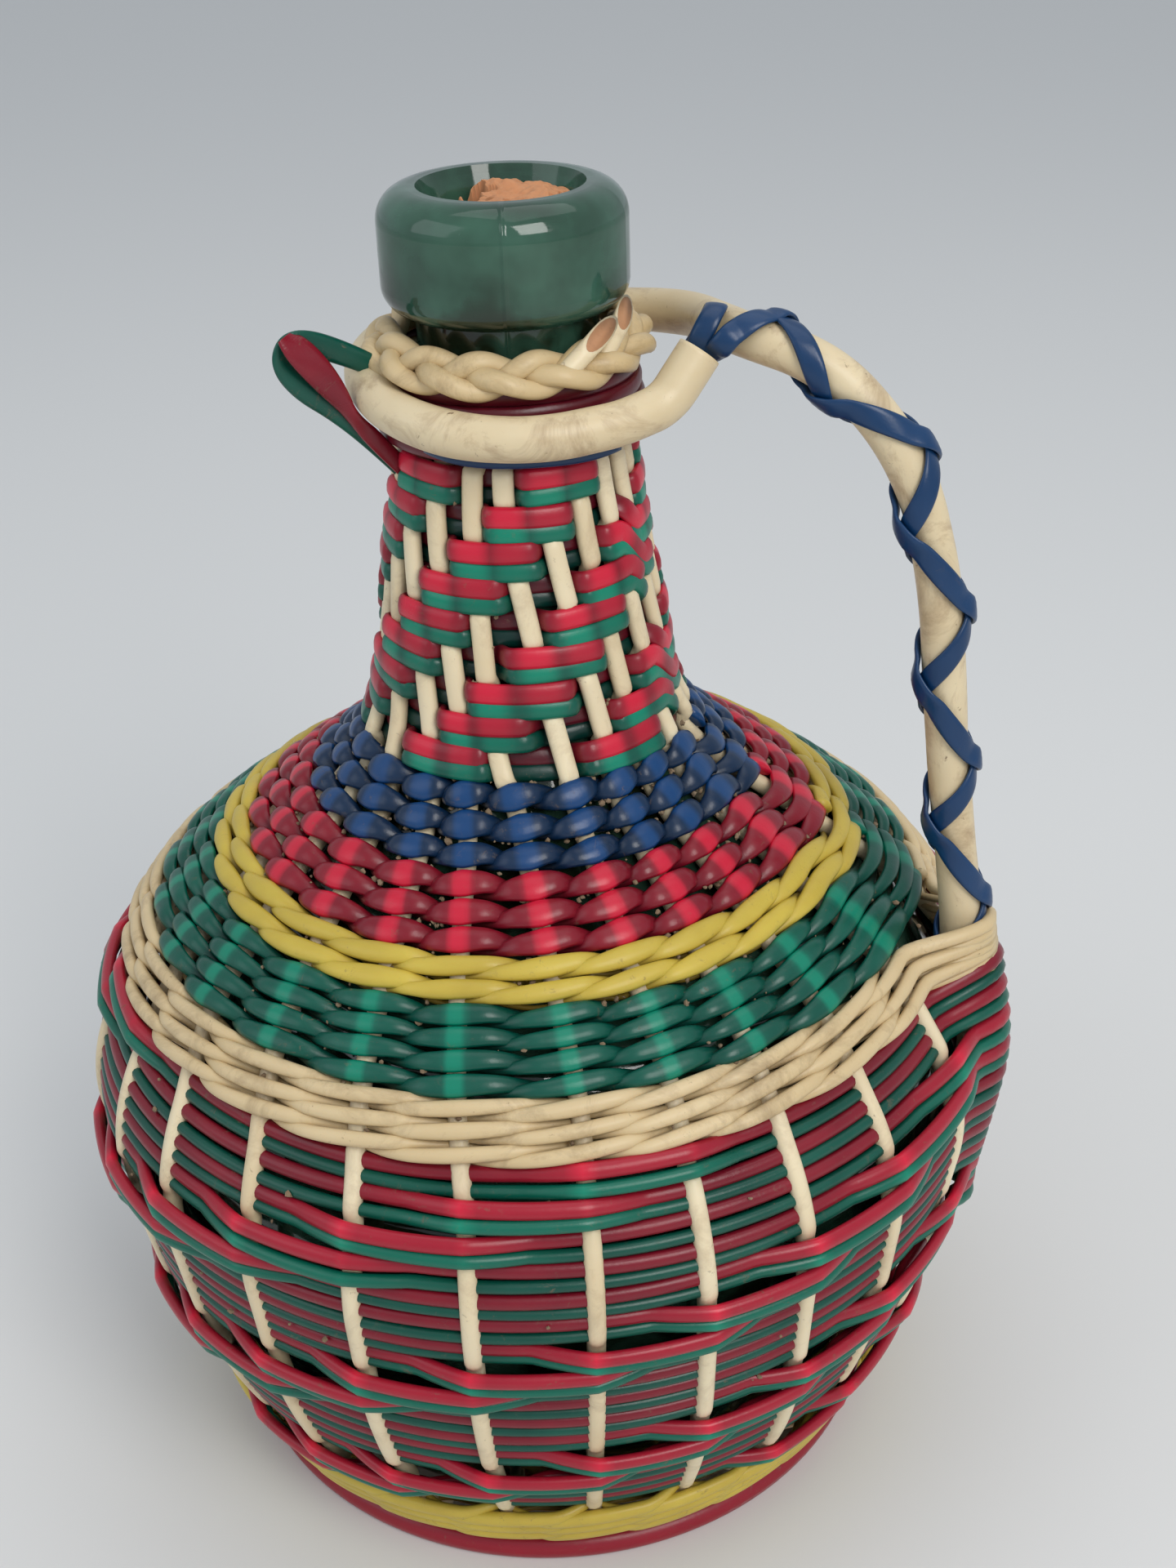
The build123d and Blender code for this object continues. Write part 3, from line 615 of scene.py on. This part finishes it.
def lens_rows(band, rows, strands, wide, thick, material, node_name, left=0.78, right=0.9, power=1.3,
              slant=0.25, shift=0.0, flat=0.25, dive=0.62, height=3.1, glowing=True):
    """Rows of strands that come out over a stake in turn.

    left and right are the lens's reach to each side in stakes, and power its fullness. slant is how far it
    climbs to the right, as a share of the row's pitch, and shift moves it sideways. flat and dive say how
    long a strand stays out and how soon it is in, and height is its lift outside.
    """
    low, high = BAND[band]
    pitch = (high - low) / rows
    soup = Soup()
    half = strands / 2 - 0.5
    knots = np.arange(N * rows + 1)
    for strand in range(strands):
        u, drop = spiral(rows, 18)
        d = np.mod(u + strand - shift + strands / 2, strands) - strands / 2
        size = np.interp(u, knots, rng.normal(1.0, 0.045, len(knots)))
        belly = np.clip(1 - np.clip(np.where(d < 0, -d / left, d / right), 0, 1) ** power, 0, 1)
        over = 1 - smoothstep((np.abs(d) - flat) / dive)
        front = np.sin(np.pi * d / (2 * half))
        back = np.sign(d) * np.cos(np.pi * (np.abs(d) - half))
        level = np.where(np.abs(d) < half, front, back)
        jitter = np.interp(u, knots, rng.normal(0, 0.13, len(knots)))
        s = np.clip(high - pitch * (drop + 0.5) + level * pitch * slant + jitter, low - 0.2, high + 0.2)
        lift = LENS_DEPTH + (height - LENS_DEPTH) * over - 0.25 * d * (over > 0.5)
        angle = angle_at(u, s)
        spot, normal = on_wall(s, angle, lift)
        if band == "cream":
            # The rows under the top one pass outside the rod's foot and rise there
            r = np.hypot(spot[:, 0], spot[:, 1])
            need, bell = past_rod(angle, r, spot[:, 2], thick + 0.1)
            keep = smoothstep((u - N * 0.9) * 3)
            spot = spot * (1 + np.stack([need / r, need / r, 0 * r], axis=1) * keep[:, None])
            spot[:, 2] += 2.6 * bell * keep
            belly = np.maximum(belly, 0.85 * bell * keep)
        across, out = frames_along(spot, normal)
        # glow paints a stake's light showing through the strand over it, and a low tint paints shade where
        # the strand runs behind the stakes
        aside = np.abs(u - np.round(u)) * (np.radians(STEP_DEG) * wall(s)[0])
        glow = np.exp(-(aside / 1.8) ** 6) * over * 0.9 if glowing else 0.0
        soup.tube(spot, across, out, (LENS_THIN + (wide - LENS_THIN) * belly) * size,
                  LENS_LEAST + (thick - LENS_LEAST) * belly, 12, glow=glow, tint=0.05 + 0.85 * over)
    piece = soup.build(node_name + "_woven", material)
    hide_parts(node_name)


lens_rows("blue", 3, 2, 2.95, 1.3, BLUE, "shoulder_rows_blue", slant=0.13)
lens_rows("red", 3, 2, 2.9, 1.3, RED, "shoulder_rows_red", slant=0.14)
lens_rows("green", 4, 2, 2.25, 1.2, GREEN, "shoulder_rows_green", slant=0.16)
lens_rows("yellow", 2, 3, 2.15, 1.5, YELLOW, "shoulder_wale_yellow", left=0.82, right=1.05,
          power=1.5, slant=0.28, shift=-0.1, flat=0.4, dive=0.8, height=3.4, glowing=False)
lens_rows("cream", 3, 3, 1.6, 1.35, WALE, "shoulder_wale_cream", left=0.95, right=1.1, power=1.6,
          slant=0.34, flat=0.35, dive=0.85, height=3.4, glowing=False)
lens_rows("base", 3, 3, 2.15, 1.5, YELLOW, "base_wale_yellow", left=0.95, right=1.1,
          power=3.0, slant=0.22, flat=0.5, dive=0.8, height=3.2, glowing=False)

# ---------------------------------------------------------------- handle rod and its ring
RING_X, RING_Y, RING_Z = 2.4, 0.8, 246.3
RING_R = 30.0
# Seen from above, the ring goes round anticlockwise from RING_FROM in steps of RING_STEP to RING_END
RING_FROM, RING_STEP, RING_STEPS = 75, 29.0, 9
RING_END = [(33.2, -10.8, 243.2), (38.4, -5.6, 251.8)]
RING_BENDS = [11.5, 30.0] + [27.875] * RING_STEPS + [9.0]
ROD_STEP = 0.8


def ring_point(angle, radius):
    """A point of the ring, which hangs down in front and stands up a little at the back."""
    a = math.radians(angle)
    lean = math.cos(math.radians(angle - FRONT))
    fall = 5.5 if lean > 0 else 1.6
    return (RING_X + radius * math.cos(a), RING_Y + radius * math.sin(a), RING_Z - fall * lean)


def carried(spots, first):
    """Outward directions that follow the run without twisting."""
    way = np.array(first, float)
    outs = []
    for t in unit(np.gradient(spots, axis=0)):
        way = way - t * (way @ t)
        way /= np.linalg.norm(way)
        outs.append(way.copy())
    return np.array(outs)


corner_radius = RING_R / math.cos(math.radians(RING_STEP) / 2)
ring_corners = [ring_point(RING_FROM + RING_STEP * (k + 0.5), corner_radius) for k in range(RING_STEPS)]
sx, sy, sz = ring_point(RING_FROM, RING_R)
lead = math.radians(RING_FROM)
depart = (sx + 20 * math.sin(lead), sy - 20 * math.cos(lead), (sz + UPRIGHT[-1][2]) / 2)
ROD = rounded(UPRIGHT + [depart] + ring_corners + RING_END, UPRIGHT_BENDS + RING_BENDS, ROD_STEP)
across, out = frames_along(ROD, carried(ROD, (0.0, 1.0, 0.0)))
run = np.arange(len(ROD)) * ROD_STEP
uneven = 1 + 0.012 * np.sin(run / 9) + 0.01 * np.sin(run / 3.7 + 1)
for label, radius, part, material, node_name, slot in (
        ("handle_rod", ROD_R, slice(None), HANDLE, "handle_sheath", "cane_handle"),
        ("handle_rod_core", 3.1, slice(6, -4), WALE, "handle_core", "rod_core")):
    soup = Soup()
    r = (radius * uneven)[part]
    soup.tube(ROD[part], across[part], out[part], r, r * 0.985, 28, tint=0.5)
    piece = soup.build(label, material)
    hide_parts(node_name)

# ---------------------------------------------------------------- blue strips wound on the handle
# The upright's line, from its upper end down, is extended a little beyond where the winding starts
STRAIGHT = rounded(UPRIGHT + [(30, 0, 254.5)], UPRIGHT_BENDS + [40], 0.5)[::-1]
STRAIGHT_STEP = 0.5
LASH_FROM = 16.0
STRIP_THICK = 0.62
# Places along the rod from its upper end in mm, and turns round it in degrees (0 outer, 90 front, 180 inner)
DOWN = np.array([(-11.5, -540), (-6, -360), (-8.0, -190), (6.5, 0), (22.8, 180), (39.1, 360), (55.4, 540),
                 (71.7, 720), (88, 900), (104.3, 1080), (119, 1260), (137, 1440), (150, 1600)], float)
UP = np.array([(-9, 540), (3, 360), (15, 180), (37.5, 0), (46.5, -180), (69.5, -360), (79, -540), (102, -720),
               (110.5, -900), (134, -1080), (143, -1260), (151, -1400)], float)


def winding(table):
    """Points of the rod's line, outward normals, places and turns along a strip."""
    places, turns = table.T
    sign = 1 if turns[0] < turns[-1] else -1
    turn = np.arange(turns.min(), turns.max(), 6.0)
    place = smooth_interp(sign * turn, sign * turns, places)
    at = (place + LASH_FROM) / STRAIGHT_STEP
    count = np.arange(len(STRAIGHT))
    centre, ahead = (np.stack([np.interp(spot, count, STRAIGHT[:, k]) for k in range(3)], axis=1)
                     for spot in (at, at + 2))
    along = unit(centre - ahead)
    outer = np.stack([along[:, 2], 0 * place, -along[:, 0]], axis=1)
    front = np.tile([0.0, -1.0, 0.0], (len(place), 1))
    a = np.radians(turn)[:, None]
    return centre, outer * np.cos(a) + front * np.sin(a), place, turn


def lay_strip(soup, centre, normal, lift, half_wide, tint, glow):
    spot = centre + normal * lift[:, None]
    across, out = frames_along(spot, normal)
    soup.tube(spot, across, out, half_wide, STRIP_THICK, 12, tint=tint, glow=glow, power=2.3)


soup = Soup()
centre, normal, _, turn = winding(DOWN)
lay_strip(soup, centre, normal, ROD_R + STRIP_THICK + 0.1 * np.sin(turn / 50), 2.15, 0.6, 0.12)
# The strip that comes back up lies over the other one where they cross
centre, normal, place, turn = winding(UP)
below = DOWN[np.argsort(DOWN[:, 0])]
apart = (turn - np.interp(place, below[:, 0], below[:, 1]) + 180.0) % 360.0 - 180.0
lay_strip(soup, centre, normal, ROD_R + 0.68 + 1.2 * np.exp(-(apart / 62.0) ** 4), 2.25, 0.65, 0.15)
binding = soup.build("handle_binding_strip", BLUE_TIE)
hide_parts("handle_binding")

# Flat blue strip that looks out from under the front of the ring
soup = Soup()
sweep = np.arange(-114.0, -34.0, 2.0)
spot = np.array([ring_point(a, 28.2 + 0.6 * math.sin(a / 9)) for a in sweep]) - np.array([0, 0, 4.9])
normal = spot - np.array([RING_X, RING_Y, 0])
normal[:, 2] = 0
across, out = frames_along(spot, unit(normal))
soup.tube(spot, across, out, 1.3, 0.6, 10, tint=0.6, power=2.3)
tie = soup.build("neck_tie_strip", BLUE_TIE)
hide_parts("neck_tie_blue")

# ---------------------------------------------------------------- plaited collar and its cut ends
# One strand goes round three times, which makes a plait of three, and shows LOBES lobes
LOBES = 14
COLLAR_R, COLLAR_Z, COLLAR_FALL = 23.9, 251.4, 0.7
PLAIT_WIDE, PLAIT_DEEP, PLAIT_R = 2.75, 1.35, 1.95
PLAIT_TILT = math.radians(40.0)
theta = np.arange(3 * 360.0)
phase = np.radians(theta * LOBES / 3.0 + 40.0)
wide = PLAIT_WIDE * np.sin(phase)
deep = PLAIT_DEEP * np.sin(2 * phase)
a = np.radians(theta)
c, q = np.cos(a), np.sin(a)
tilt_c, tilt_q = math.cos(PLAIT_TILT), math.sin(PLAIT_TILT)
radius = COLLAR_R + wide * tilt_c + deep * tilt_q
height = COLLAR_Z - COLLAR_FALL * np.cos(np.radians(theta - FRONT)) - wide * tilt_q + deep * tilt_c
spot = np.stack([radius * c, radius * q, height], axis=1)
normal = np.stack([tilt_q * c, tilt_q * q, np.full(len(a), tilt_c)], axis=1)
across, out = frames_along(spot, normal, closed=True)
plump = PLAIT_R + 0.12 * np.sin(phase * 2 + 1) + 0.08 * np.sin(a * 7)
tint = 0.35 + 0.3 * np.abs(np.sin(phase))
soup = Soup()
soup.tube(spot, across, out, plump * 1.05, plump * 0.9, 14, tint=tint, closed=True)
collar = soup.build("neck_collar_plait", WALE)
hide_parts("neck_collar_braid")

CANE_CUT = cream_material("cane_cut_face", (0.52, 0.27, 0.13), (0.42, 0.19, 0.09), (0.20, 0.10, 0.05), 0.75)
# How far the foot of a cane end is sunk into the plait, and the slant of its cut
CANE_SUNK, CUT_SLANT = 2.5, 2.6
soups = {"sheath": Soup(), "core": Soup()}
for angle, reach, rise, length in ((-46.0, 26.8, 252.6, 10.5), (-24.0, 25.6, 253.6, 11.0)):
    a = math.radians(angle)
    way = np.array([-math.sin(a) * 0.75 - 0.15, math.cos(a) * 0.75 - 0.1, 0.42])
    way /= np.linalg.norm(way)
    foot = np.array([(reach - 1.6) * math.cos(a), (reach - 1.6) * math.sin(a), rise - 1.0]) - way * CANE_SUNK
    faced = np.array([math.cos(a), math.sin(a), 0.6])
    for label, radius, extra in (("sheath", 1.9, 0.0), ("core", 1.6, 0.22)):
        t = np.linspace(0, length + extra, 9)
        spot = foot + way * t[:, None]
        across, out = frames_along(spot, np.tile(faced, (len(t), 1)))
        shear = np.interp(t, [0, length * 0.3, length], [0.0, 0.0, CUT_SLANT])
        soups[label].tube(spot, across, out, radius, radius, 18, tint=0.7, shear=-shear)
sheath = soups["sheath"].build("collar_cane_sheaths", STAKE)
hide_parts("collar_cane_ends")
soups["core"].build("collar_cane_cores", CANE_CUT)

# ---------------------------------------------------------------- hanging loop of flat strands
LOOP_ANGLE = -141.0


def flow(points):
    """Corner cutting, which keeps the ends."""
    points = np.array(points, float)
    for _ in range(3):
        a, b = points[:-1], points[1:]
        mid = np.stack([0.75 * a + 0.25 * b, 0.25 * a + 0.75 * b], axis=1).reshape(-1, points.shape[1])
        points = np.concatenate([points[:1], mid[1:-1], points[-1:]])
    return points


def loop_strand(table, label, material, node_name):
    """Each row: reach from the axis, height, depth towards the front, half width and roll in degrees."""
    reach, height, depth, half_wide, roll = resample(flow(table), 0.5).T
    turn = math.radians(LOOP_ANGLE)
    outward = np.array([math.cos(turn), math.sin(turn), 0.0])
    ahead = np.array([-math.sin(turn), math.cos(turn), 0.0])
    spot = reach[:, None] * outward + depth[:, None] * ahead
    spot[:, 2] = height
    across, out = frames_along(spot, np.tile(ahead, (len(spot), 1)))
    soup = Soup()
    soup.tube(spot, across, out, half_wide, 0.75, 12, tint=0.6, glow=0.1, roll=np.radians(roll), power=2.3)
    piece = soup.build(label, material)
    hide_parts(node_name)


loop_strand([(21.5, 227, 0.0, 1.6, 0), (25.5, 232, 0.4, 1.7, 0), (29, 236.5, 1.2, 1.7, 0),
             (32.5, 241, 1.6, 1.5, 55), (35, 245.5, 1.8, 2.2, 20), (37.5, 249.5, 1.8, 2.7, 0),
             (39.8, 252.8, 1.7, 2.9, -10), (42.2, 255.8, 1.2, 2.9, -30), (43.4, 257.4, 0.2, 2.6, -55)],
            "hanging_loop_red_strip", RED, "hanging_loop_red")
loop_strand([(22.5, 245.5, -1.6, 1.9, 0), (27, 249.3, -1.6, 2.0, 0), (33, 252.6, -1.8, 2.3, 0),
             (38.5, 255.2, -1.4, 2.4, 0), (42.6, 256.2, -1.0, 2.3, 20), (44.6, 253.6, -0.8, 2.1, 30),
             (43.6, 250.2, -0.8, 2.0, 10), (40.4, 246.2, -0.6, 2.0, 0), (36, 242.6, -0.6, 1.9, 0),
             (31.5, 238.2, -0.8, 1.8, 0), (26.5, 232.5, -1.2, 1.7, 0), (22, 227, -1.4, 1.6, 0)],
            "hanging_loop_green_strip", GREEN, "hanging_loop_green")

# ---------------------------------------------------------------- cork, broken off in the mouth
WAVES = [(rng.uniform(0.35, 2.4), rng.uniform(0, 6.28), rng.uniform(0, 6.28)) for _ in range(26)]
# The broken top stands up to the right as the camera sees it
RIGHT = math.radians(FRONT + 90.0)
# Side wall from the bottom up: radius, height and how far it stands aside to the right
CORK_WALL = [(12.75, 246.5, 0), (12.9, 247.4, 0), (12.9, 258, 0), (12.9, 266, 0), (12.8, 270.4, 0.1),
             (12.5, 273.2, 0.7), (12.1, 275.6, 1.5)]
# Level of the broken top, its highest point, and the depth of the missing piece
CORK_TOP, CORK_LIMIT, CORK_LOSS = 277.6, 279.2, 7.5
# First row of the side wall that follows the broken top down where a piece is missing
FREE_LEVEL = 4
CORK_RINGS, CORK_SIDES = 44, 120


def rough(x, y):
    out = np.zeros_like(x)
    for size, way, phase in WAVES:
        out += np.sin(size * (x * math.cos(way) + y * math.sin(way)) + phase) / (0.6 + size)
    return out


turned = np.linspace(0, 2 * math.pi, CORK_SIDES, endpoint=False)
c, q = np.cos(turned), np.sin(turned)
verts = []
for radius, height, aside in CORK_WALL:
    wob = radius - 0.12 * (aside > 0) * np.abs(rough(8 * c, 8 * q))
    verts.append(np.stack([aside * math.cos(RIGHT) + wob * c, aside * math.sin(RIGHT) + wob * q,
                           np.full(CORK_SIDES, height)], axis=1))
for radius in np.linspace(11.9, 0.3, CORK_RINGS):
    x = 1.8 * math.cos(RIGHT) + radius * c
    y = 1.8 * math.sin(RIGHT) + radius * q
    to_right = x * math.cos(RIGHT) + y * math.sin(RIGHT)
    to_back = y * math.cos(RIGHT) - x * math.sin(RIGHT)
    rugged = 0.30 * rough(0.6 * x, 0.6 * y) + 0.07 * rough(2.2 * x, 2.2 * y)
    crack = 1.6 * np.exp(-((0.55 * to_right - 0.83 * to_back - 6.5 + 0.6 * rough(x, y)) / 0.4) ** 2)
    edge = 0.7 * smoothstep((radius - 9.5) / 2.4)
    loss = CORK_LOSS * smoothstep((-3.4 - to_right + 0.8 * rough(x, y)) / 3.4)
    verts.append(np.stack([x, y, np.minimum(CORK_TOP + rugged - crack - edge - loss, CORK_LIMIT)], axis=1))
top_edge = verts[len(CORK_WALL)][:, 2]
for level in range(FREE_LEVEL, len(CORK_WALL)):
    verts[level][:, 2] = np.minimum(verts[level][:, 2], top_edge - 0.25 * (len(CORK_WALL) - level))
k = np.arange(CORK_SIDES)
last = (len(verts) - 1) * CORK_SIDES
a = np.arange(0, last, CORK_SIDES)[:, None]
corners = [a + k, a + (k + 1) % CORK_SIDES, a + CORK_SIDES + (k + 1) % CORK_SIDES, a + CORK_SIDES + k]
faces = np.stack(corners, axis=2).reshape(-1, 4).tolist() + [k[::-1].tolist(), (last + k).tolist()]
cork = cream_material("cork_brown", (0.62, 0.30, 0.145), (0.50, 0.22, 0.10), (0.16, 0.07, 0.03), 0.85, 0.5)
cork_piece = add_mesh("cork_broken", np.concatenate(verts) * MM, faces, cork)
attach(cork_piece, "cork")
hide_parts("cork_stopper")

# ---------------------------------------------------------------- dust and lint caught in the weave
GOLDEN = (1 + 5 ** 0.5) / 2
ICO = np.array([(-1, GOLDEN, 0), (1, GOLDEN, 0), (-1, -GOLDEN, 0), (1, -GOLDEN, 0),
                (0, -1, GOLDEN), (0, 1, GOLDEN), (0, -1, -GOLDEN), (0, 1, -GOLDEN),
                (GOLDEN, 0, -1), (GOLDEN, 0, 1), (-GOLDEN, 0, -1), (-GOLDEN, 0, 1)])
ICO_FACES = np.array([(0, 11, 5), (0, 5, 1), (0, 1, 7), (0, 7, 10), (0, 10, 11),
                      (1, 5, 9), (5, 11, 4), (11, 10, 2), (10, 7, 6), (7, 1, 8),
                      (3, 9, 4), (3, 4, 2), (3, 2, 6), (3, 6, 8), (3, 8, 9),
                      (4, 9, 5), (2, 4, 11), (6, 2, 10), (8, 6, 7), (9, 8, 1)])
CRUMBS = 900
# Share of the crumbs and pitch of the rows in each band
LINT = {"blue": (0.2, 6.43), "red": (0.18, 5.73), "green": (0.2, 4.35), "yellow": (0.14, 4.8),
        "cream": (0.08, 3.87), "neck": (0.12, 6.9), "body": (0.08, 6.1)}
verts, faces = [], []
for crumb in range(CRUMBS):
    band = rng.choice(list(LINT), p=[part for part, _ in LINT.values()])
    low, high = BAND[band]
    pitch = LINT[band][1]
    row = rng.integers(0, int(round((high - low) / pitch)))
    s = high - pitch * row + rng.normal(0, 0.35)
    u = rng.integers(0, N) + rng.normal(0.5, 0.22)
    lift = rng.uniform(0.5, 2.0) if band == "body" else rng.uniform(1.6, 2.7)
    angle = angle_at(np.array([u]), np.array([s]))
    spot, _ = on_wall(np.array([min(max(s, low), high)]), angle, [lift])
    size = rng.uniform(0.10, 0.34)
    verts.append(spot + ICO * rng.uniform(0.6, 1.25, ICO.shape) * size * rng.uniform(0.7, 1.5, 3))
    faces += (ICO_FACES + len(ICO) * crumb).tolist()
lint_grey = cream_material("lint", (0.36, 0.28, 0.19), (0.22, 0.15, 0.09), (0.10, 0.06, 0.03), 0.95, 0.8)
lint = add_mesh("lint_specks", np.concatenate(verts) * MM, faces, lint_grey)
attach(lint, "flask")

# ---------------------------------------------------------------- finishes for what stays from the CAD
glass = bpy.data.materials.new("green_glass")
t, shader = tree_of(glass)
coord = place_of(t)
split = node(t, "ShaderNodeSeparateXYZ")
feed(t, split.inputs[0], coord)
x, y, z = split.outputs
colour = mix(t, ramp(t, noise(t, coord, 70.0, 3.0), 0.35, 0.7), (0.028, 0.075, 0.048), (0.060, 0.165, 0.110))
# Dark blotches on the lower half of the lip
low_half = ramp(t, z, 0.2590, 0.2680, (1, 1, 1, 1), (0, 0, 0, 1))
blotches = times(t, low_half, ramp(t, noise(t, coord, 75.0, 3.0), 0.46, 0.58))
feed(t, shader.inputs["Base Color"], mix(t, times(t, blotches, 0.9), colour, (0.012, 0.014, 0.004)))
dusty = ramp(t, noise(t, coord, 160.0, 6.0, 0.75), 0.52, 0.8)
feed(t, shader.inputs["Roughness"], plus(t, times(t, dusty, 0.3), 0.07))
shader.inputs["Transmission Weight"].default_value = 0.35
shader.inputs["IOR"].default_value = 1.5
# Mould seam as a narrow upright ridge near the front: a bell curve of the angle
SEAM = math.radians(72.5)
seam = plus(t, math_node(t, "ARCTAN2", y, x), SEAM)
ridge = math_node(t, "POWER", 2.718, times(t, times(t, seam, seam), -3500.0))
bump(t, shader, plus(t, noise(t, coord, 55.0, 2.0), times(t, ridge, 0.8)), 0.35, 0.0012)
for name, material in (("glass_flask", glass), ("base_hub", STAKE), ("base_rows", STAKE),
                       ("base_rim_red", RIM)):
    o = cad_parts[name]
    o.data.materials.clear()
    o.data.materials.append(material)

# ---------------------------------------------------------------- stage, light and camera
FLOOR_HALF = 4.0
floor_material = bpy.data.materials.new("floor")
_, shader = tree_of(floor_material)
shader.inputs["Base Color"].default_value = (0.74, 0.735, 0.72, 1)
shader.inputs["Roughness"].default_value = 0.9
floor_corners = np.array([(-1, -1, 0), (1, -1, 0), (1, 1, 0), (-1, 1, 0)]) * FLOOR_HALF
floor = add_mesh("floor", floor_corners, [(0, 1, 2, 3)], floor_material)

world = bpy.data.worlds.new("soft")
bpy.context.scene.world = world
world.use_nodes = True
t = world.node_tree
t.nodes.clear()
switch = node(t, "ShaderNodeMixShader")
feed(t, switch.inputs[0], node(t, "ShaderNodeLightPath").outputs["Is Camera Ray"])
# Light on the object, then the backdrop that the camera sees
for socket, colour, strength in ((switch.inputs[1], (0.80, 0.86, 0.93), 0.62),
                                 (switch.inputs[2], (0.86, 0.86, 0.86), 0.6)):
    background = node(t, "ShaderNodeBackground")
    feed(t, background.inputs["Color"], colour)
    feed(t, background.inputs["Strength"], strength)
    feed(t, socket, background.outputs[0])
feed(t, node(t, "ShaderNodeOutputWorld").inputs[0], switch.outputs[0])


def lamp(name, location, target, size, power, colour):
    light = bpy.data.lights.new(name, "AREA")
    light.shape = "RECTANGLE"
    light.size, light.size_y = size
    light.energy, light.color = power, colour
    o = bpy.data.objects.new(name, light)
    bpy.context.collection.objects.link(o)
    o.location = location
    o.rotation_euler = (Vector(target) - Vector(location)).to_track_quat("-Z", "Y").to_euler()


def around(to_right, distance, height):
    """A place at an angle to the right of the camera's side, in degrees."""
    a = math.radians(FRONT + to_right)
    return (distance * math.cos(a), distance * math.sin(a), height)


lamp("window", around(28, 1.0, 0.95), (0, 0, 0.15), (0.5, 0.7), 8.0, (1.0, 0.98, 0.95))
lamp("fill", around(-70, 1.3, 0.9), (0, 0, 0.12), (1.0, 1.0), 3.0, (0.92, 0.96, 1.0))
lamp("top", (0.1, 0.2, 1.3), (0, 0, 0.1), (1.0, 1.0), 2.6, (1.0, 1.0, 1.0))

# Camera solved from the photograph, with the flask's front at -90 degrees, and turned with it to FRONT below.
# PLACE is in metres and already turned.
PLACE = (0.11387, -0.35046, 0.3596)
SENSOR, LENS = 36.0, 45.15
PITCH, YAW, ROLL = math.radians(29.305), math.radians(1.898), math.radians(1.974)
forward = Vector((math.sin(YAW) * math.cos(PITCH), math.cos(YAW) * math.cos(PITCH), -math.sin(PITCH)))
level = Vector((math.cos(YAW), -math.sin(YAW), 0))
below = forward.cross(level)
right = math.cos(ROLL) * level + math.sin(ROLL) * below
down = -math.sin(ROLL) * level + math.cos(ROLL) * below
turn = Matrix.Rotation(math.radians(FRONT + 90.0), 3, "Z")
axes = Matrix((turn @ right, turn @ -down, turn @ -forward)).transposed()
camera_data = bpy.data.cameras.new("camera")
camera_data.sensor_width = SENSOR
camera_data.lens = LENS
camera_data.clip_start = 0.01
camera = bpy.data.objects.new("camera", camera_data)
bpy.context.collection.objects.link(camera)
camera.matrix_world = Matrix.Translation(PLACE) @ axes.to_4x4()
bpy.context.scene.camera = camera
bpy.context.scene.view_settings.view_transform = "Standard"
